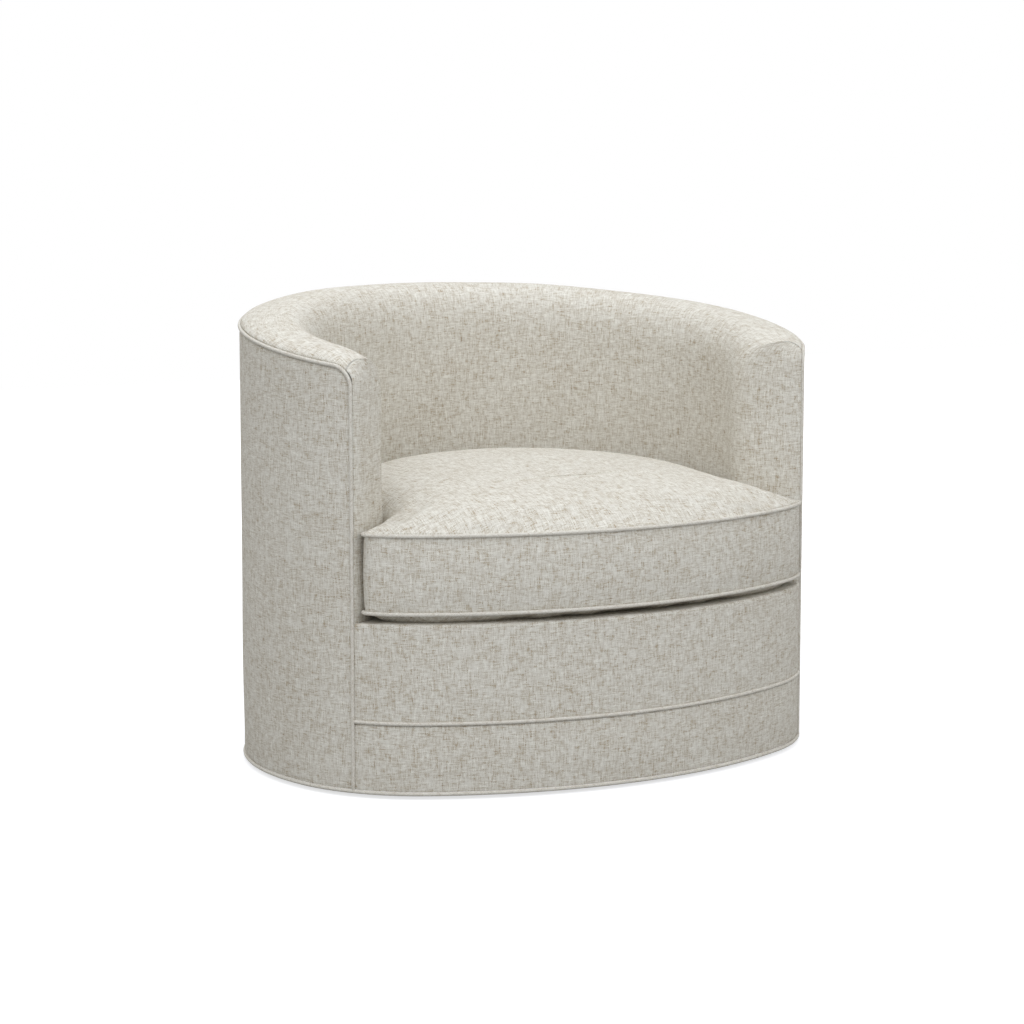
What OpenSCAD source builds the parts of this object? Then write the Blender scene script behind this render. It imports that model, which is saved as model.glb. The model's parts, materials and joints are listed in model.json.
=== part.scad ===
// Swivel barrel chair: an upholstered drum with a loose T cushion, on a hidden turntable.
// Millimetres. +Z is up, the chair faces -Y, and the origin is on the floor on the swivel axis.
// The plan outline is a chain of tangent arcs. A place in the wall is a heading along that
// outline, from 0 at the middle of the front to 180 at the middle of the back, and an inset
// measured square to the outline. Headings from 180 to 360 are the left half.

/* [Body] */
// Overall width over the outside cover
body_w = 960; // [900:5:1020]
// Overall depth over the outside cover
body_d = 792; // [750:2:840]
// Height of the top welt at the middle of the back
back_h = 743; // [700:1:790]
// Height of the top welt along the arm fronts
arm_h = 666; // [620:1:690]
// Heading of the outline at the arm fronts
seam_turn = 52; // [48:1:56]
// Thickness of the padded wall
wall_t = 120; // [112:1:128]
// Clearance between the floor and the lowest welt
floor_gap = 5.8; // [4:0.2:9]

/* [Rolled top] */
// Rise of the rolled top over its welt
roll_rise = 18; // [10:1:24]
// Inset of the crest of the roll
roll_crest = 54; // [44:1:58]
// Depth over which the roll turns down into the inside
roll_drop = 90; // [70:1:110]
// Rounding of the inner edge of an arm front
nose_r = 42; // [36:1:42]
// Swell of an arm front past its welt
arm_swell = 11; // [8:1:17]
// Inset at which that swell is full
swell_inset = 38; // [30:1:44]
// Height over which the top rounds down to an arm front
front_drop = 48; // [40:1:56]
// Further depth of the inner fall of the roll at an arm front
nose_drop = 30; // [20:1:40]
// Radius of the top welt where it turns down at an arm front
welt_turn_r = 30; // [20:1:36]

/* [Covers] */
// Thickness of a fabric cover with its lining
cover_t = 3; // [2:0.5:4]
// Diameter of the welts
welt_d = 6; // [5:0.5:7]
// Space between a welt and the edges that it joins
welt_gap = 0.3; // [0.2:0.05:0.5]
// Height of the welt across the front
mid_welt_z = 119; // [105:1:135]
// Height of the top of the seat deck
deck_z = 273; // [262:1:285]
// Thickness of the fibreboard under the outside covers
board_t = 3; // [2:0.5:4]
// Clearance between soft pieces that touch
touch_gap = 0.3; // [0.2:0.05:0.5]

/* [Cushion] */
// Distance between the two welts of the cushion
boxing_h = 121; // [100:1:140]
// Rise of the crown over the upper welt
crown_h = 70; // [50:1:85]
// Depth of the lower panel under the lower welt
cushion_belly = 16.7; // [12:0.5:20]
// Space between the cushion and the inside of the wall
cushion_gap = 6; // [5.5:0.25:8]
// Amount by which the boxing draws in at the welts
boxing_draw = 3; // [1:0.5:4]
// Amount by which the cushion stands past the front of the chair
cushion_proud = 2; // [0:0.5:5]
// Cut back of the ears at their points
ear_r = 16; // [10:1:20]
// Thickness of the cushion cover with its wrap
ticking_t = 3; // [2:0.5:5]
// Width of the zip tape
zip_w = 26; // [20:1:32]
// Thickness of the zip tape
zip_t = 1; // [0.6:0.1:1.2]
// Length of the zip slider
slider_l = 16; // [12:1:20]
// Thickness of the zip slider
slider_t = 3; // [2:0.25:3.25]
// Width of the zip slider
slider_w = 9; // [7:0.5:12]

/* [Frame] */
// Width of the rings and rails, from outside to inside
ring_w = 60; // [58:1:62]
// Thickness of the plywood of the seat ring and the top rail
ply_t = 22; // [18:1:25]
// Height of the bottom ring
bottom_ring_h = 48; // [42:1:54]
// Clearance between the floor and the bottom ring
ring_floor = 14; // [13:0.5:18]
// Depth of the posts
post_d = 34; // [30:1:36]
// Depth of the top of the top rail under the top welt
rail_drop = 26; // [22:1:34]
// Thickness of the webbing of the inside back
webbing_t = 2; // [1:0.5:3]
// Thickness of the deck foam
deck_pad_t = 38; // [30:1:42]
// Thickness of the felt over the springs
felt_t = 3; // [2:0.5:4]
// Thickness of the dust cover
dust_t = 1; // [0.6:0.1:1.2]
// Wire of the sinuous springs
wire_d = 3.5; // [3:0.25:4]
// Radius of the turns of a sinuous spring
spring_turn_r = 13; // [11:0.5:15]
// Half width of a sinuous spring
spring_half_w = 24; // [20:1:27]
// Distance between two springs
spring_pitch = 74; // [64:1:80]
// Size of a spring clip along the spring
clip_l = 16; // [12:1:18]
// Width of a spring clip
clip_w = 16; // [12:1:18]
// Height of a spring clip
clip_h = 6; // [5.5:0.25:7]

/* [Swivel base] */
// Radius of the base disc
disc_r = 265; // [240:1:275]
// Thickness of the base disc
disc_t = 18; // [16:1:20]
// Radius of the circle of glides
glide_ring_r = 235; // [205:1:238]
// Radius of a glide
glide_r = 15; // [12:0.5:18]
// Height of a glide
glide_h = 6; // [5:0.25:7]
// Radius of the turntable plates
plate_r = 165; // [158:1:175]
// Thickness of the turntable plates
plate_t = 2; // [1.5:0.25:2.5]
// Radius of the ball race
race_r = 110; // [95:1:115]
// Diameter of a ball
ball_d = 8; // [7:0.5:8.5]
// Running clearance of the balls and the king bolt
run_gap = 0.1; // [0.05:0.01:0.1]
// Radius of the king bolt
bolt_r = 10; // [8:0.5:12]
// Width of a joist
joist_w = 60; // [50:1:66]
// Distance between the joists, middle to middle
joist_pitch = 160; // [150:1:170]
// Radius of the hole in the dust cover
dust_hole_r = 290; // [285:1:300]

/* [Hidden] */

$fn = 64;

fabric = [0.80, 0.78, 0.72];
fabric_shade = [0.72, 0.70, 0.64];
welt_tone = [0.85, 0.83, 0.77];
foam_tone = [0.93, 0.90, 0.76];
ply_tone = [0.80, 0.65, 0.45];
steel_tone = [0.62, 0.63, 0.65];
black_tone = [0.12, 0.12, 0.13];

half_turn = 180;
quarter_turn = 90;
full_turn = 360;

// Radii of the front, corner and side arcs as shares of the half width, and their turns
arc_shares = [1.535, 0.553, 0.8];
arc_turns = [26.4, 46.8, 43];
// Power of the fall of the top welt from the back to the arms
fall_power = 1.18;

// Numbers of steps along the wall, the front and the turns
wall_steps = 48;
front_steps = 20;
nose_steps = 4;
welt_sides = 8;

welt_r = welt_d / 2;
welt_inset = cover_t - welt_r;
welt_clear = welt_r + welt_gap;
base_welt_z = floor_gap + welt_r;
skirt_z = base_welt_z + welt_clear;
board_inset = cover_t + board_t;
board_back = board_inset - touch_gap;
ring_in = board_inset + ring_w;
cut = 1;

// Heights of the seat, worked down from the deck
pad_top = deck_z - cover_t;
felt_top = pad_top - deck_pad_t;
felt_z = felt_top - felt_t;
seat_ring_top = felt_z - touch_gap - clip_h;
seat_ring_z = seat_ring_top - ply_t;
wire_z = seat_ring_top + clip_h - touch_gap - wire_d - cover_t / 2;

// Heights of the frame and the turntable, worked up from the floor
ring_top = ring_floor + bottom_ring_h;
disc_top = glide_h + disc_t;
plate_top = disc_top + plate_t;
ball_r = ball_d / 2;
rib_h = 0.625 * ball_r;
ball_z = plate_top + ball_r + plate_t / 2;
upper_plate_z = 2 * ball_z - plate_top;
joist_z = upper_plate_z + plate_t;

/* The outline */

function total(v, i = 0) = i < len(v) ? v[i] + total(v, i + 1) : 0;
function clamp(a, low, high) = min(max(a, low), high);

heads = [
    0, arc_turns[0], arc_turns[0] + arc_turns[1], arc_turns[0] + arc_turns[1] + arc_turns[2], half_turn
];
closing_share = total([for (i = [0:2]) arc_shares[i] * (sin(heads[i + 1]) - sin(heads[i]))])
    / sin(heads[3]);
radius_shares = [each arc_shares, closing_share];

function unit_x(a) = total([
    for (i = [0:3]) radius_shares[i] * (sin(clamp(a, heads[i], heads[i + 1])) - sin(heads[i]))
]);
function unit_y(a) = total([
    for (i = [0:3]) radius_shares[i] * (cos(heads[i]) - cos(clamp(a, heads[i], heads[i + 1])))
]);

x_scale = body_w / 2 / unit_x(quarter_turn);
y_scale = body_d / unit_y(half_turn);
corner_radius = radius_shares[1] * x_scale;

// A point of the plan at heading a and inset d
function right_rim(a, d) =
    let (
        along = [x_scale * cos(a), y_scale * sin(a)],
        out = [along[1], -along[0]] / norm(along)
    )
    [x_scale * unit_x(a), y_scale * unit_y(a) - body_d / 2] - d * out;
function mirror_x(p) = [-p[0], p[1]];
function rim(a, d) =
    a < 0 ? mirror_x(right_rim(-a, d))
    : a > half_turn ? mirror_x(right_rim(full_turn - a, d))
    : right_rim(a, d);

// The heading change for a length measured at an inset near an arm front, and the reverse
function turn_at(length, d) = length / (corner_radius - d) * half_turn / PI;
function turn_of(length) = turn_at(length, 0);
function past_seam(a) =
    (a > half_turn ? full_turn - a - seam_turn : a - seam_turn) * corner_radius * PI / half_turn;

// Height of the top welt's line at a heading, rounded down at the arm fronts, or of a line
// that runs under it, closer by inner
seam_y = rim(seam_turn, 0)[1];
function open_top(a) =
    back_h - (back_h - arm_h)
    * pow(clamp((body_d / 2 - rim(a, 0)[1]) / (body_d / 2 - seam_y), 0, 1), fall_power);
function turn_drop(s, inner = 0) =
    s < welt_turn_r
    ? welt_turn_r - sqrt(max(0, pow(welt_turn_r - inner, 2) - pow(welt_turn_r - s, 2)))
    : inner;
function top_z(a, inner = 0) = open_top(a) - turn_drop(max(0, past_seam(a)), inner);

// Headings of the steps: along the wall, across the front, and close to an arm front
function wall_at(i) = seam_turn + i * (full_turn - 2 * seam_turn) / wall_steps;
function front_at(i) = -seam_turn + i * 2 * seam_turn / front_steps;
function near_seam(lengths) = [for (s = lengths) seam_turn + turn_of(s)];
function reversed(v) = [for (i = [len(v) - 1:-1:0]) v[i]];
function both_ends(first, from) = [
    each first,
    each [for (i = [from:wall_steps - from]) wall_at(i)],
    each [for (a = reversed(first)) full_turn - a]
];

/* Solids that follow the outline */

// A closed skin over rings of equally many points; the ends are capped, or the rings join.
// Each four-sided piece is split along its shorter diagonal, or all are split the same way
module skin(rings, joined = false, shorter = true) {
    n = len(rings[0]);
    m = len(rings);
    bands = joined ? m : m - 1;
    points = [for (ring = rings) each ring];
    sides = [
        for (i = [0:bands - 1], j = [0:n - 1])
            let (
                a = i * n + j,
                b = i * n + (j + 1) % n,
                c = (i + 1) % m * n + j,
                d = (i + 1) % m * n + (j + 1) % n
            )
            each !shorter || norm(points[a] - points[d]) <= norm(points[b] - points[c])
                ? [[a, b, d], [a, d, c]]
                : [[a, b, c], [b, d, c]]
    ];
    caps = joined ? [] : [[for (j = [n - 1:-1:0]) j], [for (j = [0:n - 1]) (m - 1) * n + j]];
    polyhedron(points, [each sides, each caps]);
}

// Sweeps a section along headings. A point of it is [inset, height, follow], where follow is
// 1 for a height counted from the top welt's line and 0 for one counted from the floor
module wall_sweep(headings, section, inner = 0) {
    skin([
        for (a = headings) [for (p = section) [each rim(a, p[0]), p[1] + p[2] * top_z(a, inner)]]
    ]);
}

// An upright block between two headings and two insets
module rim_block(headings, inset_out, inset_in, z_low, z_high) {
    translate([0, 0, z_low])
        linear_extrude(z_high - z_low)
            polygon([
                each [for (a = headings) rim(a, inset_out)],
                each [for (a = reversed(headings)) rim(a, inset_in)]
            ]);
}

// A whole ring between two insets
all_headings = [
    each [for (i = [0:front_steps - 1]) front_at(i)], each [for (i = [0:wall_steps - 1]) wall_at(i)]
];
module rim_ring(inset_out, inset_in, z_low, z_high) {
    translate([0, 0, z_low])
        linear_extrude(z_high - z_low)
            difference() {
                polygon([for (a = all_headings) rim(a, inset_out)]);
                polygon([for (a = all_headings) rim(a, inset_in)]);
            }
}

// A round cord along points, each [centre, direction to the side, direction up]
function cord_ring(p) = [
    for (k = [0:welt_sides - 1])
        let (a = (k + 0.5) * full_turn / welt_sides)
        p[0] + welt_r * (cos(a) * p[1] + sin(a) * p[2])
];

// The place of a welt at heading a and height z, climbing at an angle
function welt_place(a, z, climb) =
    let (
        side = (rim(a, 0) - rim(a, welt_d)) / welt_d,
        along = [-side[1], side[0]]
    )
    [[each rim(a, welt_inset), z], [each side, 0], [each (-sin(climb) * along), cos(climb)]];

/* The plan of an arm front: it swells from its welt, then turns round to the inside */

nose_d = wall_t - nose_r;
swell_shares = [0, 0.25, 0.5, 0.75, 1];

function swell_at(d) = arm_swell * (1 - pow(1 - clamp(d / swell_inset, 0, 1), 2));
function swell_turn(d, c) = seam_turn - turn_at(swell_at(d) + c, d);

// The inset and the heading of the inner edge at an angle, its radius changed by c
function nose_inset(t, c) = nose_d + (nose_r + c) * sin(t);
function nose_turn(t, c) =
    seam_turn - turn_at(arm_swell - nose_r + (nose_r + c) * cos(t), nose_inset(t, c));

/* The seat's plan: the outline in front, then round the arm fronts and along the inside */

// front_inset is the inset of its front, gap its distance from the wall, cut_back the
// shortening of the points beside the arm fronts and stride its step along the wall
function half_seat(front_inset, gap, cut_back, stride) =
    let (
        side_d = front_inset + cut_back,
        tip = swell_turn(side_d, gap) - turn_of(cut_back),
        bulge = (nose_r + gap) / cos(quarter_turn / nose_steps / 2) - nose_r
    )
    [
        each [for (i = [0:stride:front_steps / 2]) rim(i * 2 / front_steps * tip, front_inset)],
        each [
            for (share = swell_shares)
                if (share > 0 || cut_back > 0)
                    let (d = side_d + share * (swell_inset - side_d))
                    rim(swell_turn(d, gap), d)
        ],
        rim(swell_turn(nose_d, gap), nose_d),
        each [
            for (i = [1:nose_steps])
                let (t = quarter_turn * i / nose_steps, c = i < nose_steps ? bulge : gap)
                rim(nose_turn(t, c), nose_inset(t, c))
        ],
        each [for (i = [4:stride:wall_steps / 2]) rim(wall_at(i), wall_t + gap)]
    ];
function seat_plan(front_inset, gap, cut_back = 0, stride = 1) =
    let (half = half_seat(front_inset, gap, cut_back, stride), n = len(half))
    [each half, each [for (i = [n - 2:-1:1]) mirror_x(half[i])]];

module seat_sheet(front_inset, cut_back, z_low, z_high) {
    translate([0, 0, z_low])
        linear_extrude(z_high - z_low)
            polygon(seat_plan(front_inset, touch_gap, cut_back));
}

/* Sections of the rolled top: a quarter ellipse up from the welt, one down to the inside */

rise_angles = [asin(welt_clear / roll_rise), 40, 65, 90];
pad_c = cover_t + touch_gap;
fall_split = asin((roll_drop - roll_rise - rail_drop) / (roll_drop - pad_c));
fall_angles = [70, 50, fall_split, 16, 0];
split_index = 2;

// An arc of the section from a foot [inset, height] up to a crest, at an angle
function arc_point(foot, crest, a) =
    [crest[0] + (foot[0] - crest[0]) * cos(a), foot[1] + (crest[1] - foot[1]) * sin(a)];

// The arcs of the wall's section, c under its cover, with heights counted from the top welt
function roll_rise_points(c) =
    [for (a = rise_angles) [each arc_point([c, 0], [roll_crest, roll_rise - c], a), 1]];
function roll_fall_points(c, from, to) = [
    for (i = [from:to])
        [
            each arc_point(
                [wall_t - c, roll_rise - roll_drop], [roll_crest, roll_rise - c], fall_angles[i]
            ),
            1
        ]
];
last_fall = len(fall_angles) - 1;

/* Swivel base */

module round_places(r, count) {
    for (i = [0:count - 1])
        rotate(i * full_turn / count)
            translate([r, 0, 0])
                children();
}

module glide_places() {
    round_places(glide_ring_r, glide_count)
        children();
}

screw_r = 2.5;
screw_head_r = 5.5;
screw_head_h = 2.5;
glide_screw_l = 12;
bolt_head_r = 1.8 * bolt_r;
bolt_head_h = 5;
bolt_head_z = glide_h + cut;
washer_t = 3;
washer_r = 2.2 * bolt_r;
nut_h = 10;
nut_r = 1.6 * bolt_r;
bolt_end = 2;
washer_z = joist_z + touch_gap;
screw_ring_r = (race_r + plate_r) / 2 + rib_h;
rib_half_w = 1.75 * ball_r;
cage_half_w = 2 * ball_r;
cage_t = 1.5;
ball_count = 24;
screw_count = 6;
glide_count = 6;

module base_disc() {
    color(ply_tone)
        difference() {
            translate([0, 0, glide_h])
                cylinder(h = disc_t, r = disc_r, $fn = 128);
            cylinder(h = disc_top + cut, r = bolt_r);
            cylinder(h = bolt_head_z + bolt_head_h, r = bolt_head_r + touch_gap);
            glide_places()
                cylinder(h = glide_h + glide_screw_l, r = screw_r, $fn = 24);
            lower_screw_places()
                translate([0, 0, disc_top - glide_screw_l])
                    cylinder(h = glide_screw_l + cut, r = screw_r, $fn = 24);
        }
}

module floor_glides() {
    color(black_tone)
        glide_places()
            difference() {
                cylinder(h = glide_h, r = glide_r);
                translate([0, 0, -cut])
                    cylinder(h = glide_h + 2 * cut, r = screw_r, $fn = 24);
                translate([0, 0, -cut])
                    cylinder(h = screw_head_h + 2 * cut, r = screw_head_r);
            }
}

module glide_screws() {
    color(steel_tone)
        glide_places() {
            translate([0, 0, cut])
                cylinder(h = glide_h + glide_screw_l - cut, r = screw_r, $fn = 24);
            translate([0, 0, cut])
                cylinder(h = screw_head_h, r = screw_head_r);
        }
}

// A screw hole through a turntable plate lying at z = 0
module screw_hole() {
    translate([0, 0, -cut])
        cylinder(h = plate_t + 2 * cut, r = screw_r, $fn = 24);
}

// The plate itself, with its ball track on the upper side and its children cut away
module swivel_plate(hole_r) {
    difference() {
        union() {
            cylinder(h = plate_t, r = plate_r, $fn = 128);
            difference() {
                cylinder(h = plate_t + rib_h, r = race_r + rib_half_w, $fn = 128);
                translate([0, 0, -cut])
                    cylinder(h = plate_t + rib_h + 2 * cut, r = race_r - rib_half_w, $fn = 128);
            }
        }
        translate([0, 0, ball_z - disc_top])
            rotate_extrude($fn = 128)
                translate([race_r, 0])
                    circle(r = ball_r + run_gap, $fn = 48);
        translate([0, 0, -cut])
            cylinder(h = plate_t + 2 * cut, r = hole_r);
        children();
    }
}

module lower_screw_places() {
    rotate(full_turn / screw_count / 2)
        round_places(screw_ring_r, screw_count)
            children();
}

module lower_swivel_plate() {
    color(steel_tone)
        translate([0, 0, disc_top])
            swivel_plate(bolt_r)
                lower_screw_places()
                    screw_hole();
}

module lower_plate_screws() {
    color(steel_tone)
        lower_screw_places() {
            translate([0, 0, disc_top - glide_screw_l])
                cylinder(h = glide_screw_l + plate_t, r = screw_r, $fn = 24);
            translate([0, 0, plate_top])
                cylinder(h = screw_head_h, r = screw_head_r);
        }
}

module king_bolt() {
    color(steel_tone) {
        translate([0, 0, bolt_head_z])
            cylinder(h = bolt_head_h, r = bolt_head_r);
        translate([0, 0, bolt_head_z])
            cylinder(h = washer_z + washer_t + nut_h + bolt_end - bolt_head_z, r = bolt_r);
    }
}

module king_washer() {
    color(steel_tone)
        translate([0, 0, washer_z])
            difference() {
                cylinder(h = washer_t, r = washer_r);
                translate([0, 0, -cut])
                    cylinder(h = washer_t + 2 * cut, r = bolt_r);
            }
}

module king_nut() {
    color(steel_tone)
        translate([0, 0, washer_z + washer_t])
            difference() {
                cylinder(h = nut_h, r = nut_r, $fn = 6);
                translate([0, 0, -cut])
                    cylinder(h = nut_h + 2 * cut, r = bolt_r);
            }
}

module ball_cage() {
    color(steel_tone)
        translate([0, 0, ball_z - cage_t / 2])
            difference() {
                cylinder(h = cage_t, r = race_r + cage_half_w, $fn = 128);
                translate([0, 0, -cut])
                    cylinder(h = cage_t + 2 * cut, r = race_r - cage_half_w, $fn = 128);
                round_places(race_r, ball_count)
                    translate([0, 0, -cut])
                        cylinder(h = cage_t + 2 * cut, r = ball_r + run_gap, $fn = 32);
            }
}

module bearing_balls() {
    color("silver")
        round_places(race_r, ball_count)
            translate([0, 0, ball_z])
                sphere(r = ball_r, $fn = 32);
}

/* Turning frame */

module upper_swivel_plate() {
    color(steel_tone)
        translate([0, 0, joist_z])
            mirror([0, 0, 1])
                swivel_plate(bolt_r + run_gap)
                    upper_screw_places()
                        screw_hole();
}

// The upper screws stand under the joists, two in each
upper_screw_l = 16;
upper_screw_x = sqrt(pow(screw_ring_r, 2) - pow(joist_pitch / 2, 2));

module upper_screw_places() {
    for (side = [-1, 1], end = [-1, 1])
        translate([end * upper_screw_x, side * joist_pitch / 2, 0])
            children();
}

module upper_plate_screws() {
    color(steel_tone)
        upper_screw_places() {
            translate([0, 0, upper_plate_z - screw_head_h])
                cylinder(h = screw_head_h, r = screw_head_r);
            translate([0, 0, upper_plate_z - screw_head_h])
                cylinder(h = screw_head_h + plate_t + upper_screw_l, r = screw_r, $fn = 24);
        }
}

module swivel_joists() {
    color(ply_tone)
        difference() {
            intersection() {
                translate([0, 0, joist_z])
                    linear_extrude(ring_top - joist_z)
                        polygon([for (a = all_headings) rim(a, ring_in)]);
                for (side = [-1, 1])
                    translate([-body_w / 2, side * joist_pitch / 2 - joist_w / 2, joist_z])
                        cube([body_w, joist_w, ring_top - joist_z]);
            }
            upper_screw_places()
                translate([0, 0, joist_z - cut])
                    cylinder(h = upper_screw_l + cut, r = screw_r, $fn = 24);
        }
}

module bottom_ring() {
    color(ply_tone)
        rim_ring(board_inset, ring_in, ring_floor, ring_top);
}

// Posts stand between wall steps, four on each side, and between front steps
post_steps = [2, 8, 14, 20];
front_post_steps = [2, 7];

module post_pair(step, z_low, z_high) {
    rim_block([wall_at(step), wall_at(step + 1)], board_inset, board_inset + post_d, z_low, z_high);
    rim_block(
        [wall_at(wall_steps - step - 1), wall_at(wall_steps - step)],
        board_inset, board_inset + post_d, z_low, z_high
    );
}

module lower_posts() {
    color(ply_tone) {
        for (step = post_steps)
            post_pair(step, ring_top, seat_ring_z);
        for (i = front_post_steps) {
            rim_block(
                [front_at(i), front_at(i + 1)],
                board_inset, board_inset + post_d, ring_top, seat_ring_z
            );
            rim_block(
                [front_at(front_steps - i - 1), front_at(front_steps - i)],
                board_inset, board_inset + post_d, ring_top, seat_ring_z
            );
        }
    }
}

module seat_ring() {
    color(ply_tone)
        rim_ring(board_inset, ring_in, seat_ring_z, seat_ring_top);
}

rail_low = rail_drop + ply_t;
function post_top(step) =
    min(top_z(wall_at(step)), top_z(wall_at(step + 1))) - rail_low - touch_gap;

module upper_posts() {
    color(ply_tone)
        for (step = post_steps)
            post_pair(step, seat_ring_top, post_top(step));
}

module top_rail() {
    color(ply_tone)
        wall_sweep(
            [for (i = [2:wall_steps - 2]) wall_at(i)],
            [
                [board_inset, -rail_low, 1], [board_inset, -rail_drop, 1],
                [ring_in, -rail_drop, 1], [ring_in, -rail_low, 1]
            ]
        );
}

// Lengths from an arm front at which the rounded ends of the covers are worked out
end_steps = [0.11, 0.25, 0.5, 1];
end_headings = near_seam([for (share = end_steps) share * welt_turn_r]);

module outside_board() {
    color([0.55, 0.45, 0.33])
        wall_sweep(
            both_ends(end_headings, 2),
            [
                [cover_t, ring_floor, 0], [cover_t, -rail_drop, 1],
                [board_back, -rail_drop, 1], [board_back, ring_floor, 0]
            ]
        );
}

seam_clear = turn_of(welt_clear);
front_headings = [
    -seam_turn + seam_clear, each [for (i = [1:front_steps - 1]) front_at(i)], seam_turn - seam_clear
];

module front_board() {
    color([0.55, 0.45, 0.33])
        rim_block(front_headings, cover_t, board_back, ring_floor, felt_top);
}

/* Seat */

spring_count = 7;
turn_angles = [-90, -30, 30, 90];
spring_inset = (board_inset + post_d + ring_in) / 2;

// The depth of an inset line at a place across the chair, at the front and at the back
function front_y(x, d) = lookup(x, [for (i = [0:front_steps]) rim(front_at(i), d)]);
function back_y(x, d) =
    lookup(x, [for (i = [wall_steps - 8:-1:8]) rim(wall_at(i), d)]);

// One edge of a sinuous wire, offset to its left by side
function wire_edge(x, y, turns, side) =
    let (bar = spring_half_w - spring_turn_r, last = turns % 2 == 1 ? 1 : -1)
    [
        [x - bar, y + side],
        each [
            for (k = [0:turns - 1], a = turn_angles)
                let (s = k % 2 == 0 ? 1 : -1, r = spring_turn_r - s * side)
                [x + s * (bar + r * cos(a)), y + (2 * k + 1) * spring_turn_r + r * sin(a)]
        ],
        [x - last * bar, y + 2 * turns * spring_turn_r - last * side]
    ];

function spring_x(i) = (i - (spring_count - 1) / 2) * spring_pitch;
function spring_from(i) = front_y(spring_x(i), spring_inset);
function spring_span(i) = back_y(spring_x(i), spring_inset) - spring_from(i);
function spring_turns(i) = floor(spring_span(i) / (2 * spring_turn_r));
function spring_start(i) =
    spring_from(i) + (spring_span(i) - 2 * spring_turn_r * spring_turns(i)) / 2;

module seat_springs() {
    color(steel_tone)
        for (i = [0:spring_count - 1])
            translate([0, 0, wire_z])
                linear_extrude(wire_d)
                    polygon([
                        each wire_edge(spring_x(i), spring_start(i), spring_turns(i), wire_d / 2),
                        each reversed(wire_edge(
                            spring_x(i), spring_start(i), spring_turns(i), -wire_d / 2
                        ))
                    ]);
}

// A clip stands on the seat ring and holds the first and the last bar of each spring
module spring_clip() {
    difference() {
        translate([-clip_w / 2, -clip_l / 2, 0])
            cube([clip_w, clip_l, clip_h]);
        translate([-clip_w, -wire_d / 2 - touch_gap, -cut])
            cube([
                2 * clip_w, wire_d + 2 * touch_gap,
                wire_z - seat_ring_top + wire_d + touch_gap + cut
            ]);
    }
}

module spring_clips() {
    color(steel_tone)
        for (i = [0:spring_count - 1]) {
            translate([spring_x(i), spring_start(i), seat_ring_top])
                spring_clip();
            translate([
                spring_x(i), spring_start(i) + 2 * spring_turn_r * spring_turns(i), seat_ring_top
            ])
                spring_clip();
        }
}

module spring_felt() {
    color([0.42, 0.40, 0.38])
        seat_sheet(board_inset, 0, felt_z, felt_top);
}

module deck_pad() {
    color(foam_tone)
        seat_sheet(board_inset, 0, felt_top, pad_top);
}

module deck_cover() {
    color(fabric_shade)
        seat_sheet(0, 2 * welt_r, pad_top, deck_z);
}

/* Padded wall */

webbing_inset = ring_in + webbing_t;
pad_low = felt_z;

module back_webbing() {
    color([0.35, 0.30, 0.24])
        for (i = [4:3:wall_steps - 5])
            wall_sweep(
                [wall_at(i), wall_at(i + 1)],
                [
                    [ring_in, pad_low, 0], [ring_in, -rail_drop, 1],
                    [webbing_inset, -rail_drop, 1], [webbing_inset, pad_low, 0]
                ]
            );
}

pad_headings = [for (i = [2:wall_steps - 2]) wall_at(i)];

module back_pad() {
    color(foam_tone)
        wall_sweep(
            pad_headings,
            [
                [webbing_inset, pad_low, 0],
                [webbing_inset, -rail_drop, 1],
                each roll_fall_points(pad_c, split_index, last_fall),
                [wall_t - pad_c, pad_low, 0]
            ]
        );
}

module roll_pad() {
    lip = roll_fall_points(pad_c, split_index, split_index)[0];
    color(foam_tone)
        wall_sweep(
            pad_headings,
            [
                [board_inset, touch_gap - rail_drop, 1],
                [board_inset, welt_clear, 1],
                each [for (i = [1:len(rise_angles) - 1]) roll_rise_points(pad_c)[i]],
                each roll_fall_points(pad_c, 0, split_index - 1),
                lip + [0, touch_gap, 0]
            ]
        );
}

module inside_cover() {
    color(fabric)
        wall_sweep(
            pad_headings,
            [
                each roll_rise_points(0),
                each roll_fall_points(0, 0, last_fall),
                [wall_t, pad_low, 0],
                [wall_t - cover_t, pad_low, 0],
                each reversed(roll_fall_points(cover_t, 0, last_fall)),
                each reversed(roll_rise_points(cover_t))
            ]
        );
}

// The end of an arm, c under its cover, as upright rings from the front of its swell back to
// the wall. Across a ring the top climbs from the welt's side to a crest and falls to the
// inside. extra carries the solid past its open sides, for cutting
nose_angles = [12, 25, 45, 65];
joint_turn = wall_at(2);

function arm_ring(a, reach, c, extra) =
    let (
        front = nose_turn(nose_angles[0], -c),
        share = clamp((a - front) / (joint_turn - front), 0, 1),
        crest_z = roll_rise - c - front_drop * (1 - sqrt(1 - pow(1 - share, 2))),
        low = lookup(a, [
            for (d = [each swell_inset * swell_shares, nose_d]) [swell_turn(d, -c), d]
        ]),
        open = low <= board_inset,
        side = max(low, board_inset),
        past = a >= seam_turn,
        crest = [
            past ? roll_crest * (reach + c) / wall_t
            : side + roll_crest / wall_t * (reach + c - side),
            crest_z
        ],
        side_foot = past ? [c, -turn_drop(past_seam(a))] : [side, -welt_turn_r - c],
        inner_foot = [reach, roll_rise - roll_drop - nose_drop * (1 - share)],
        section = [
            [side - (open ? extra : 0), min(side_foot[1], crest_z) - cut],
            each [for (i = [1:len(rise_angles) - 1]) arc_point(side_foot, crest, rise_angles[i])],
            each [for (t = fall_angles) arc_point(inner_foot, crest, t)]
        ]
    )
    [
        [each rim(a, side - (open ? extra : 0)), pad_low - extra],
        each [for (p = section) [each rim(a, p[0]), open_top(a) + p[1]]],
        [each rim(a, reach), pad_low - extra]
    ];

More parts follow.
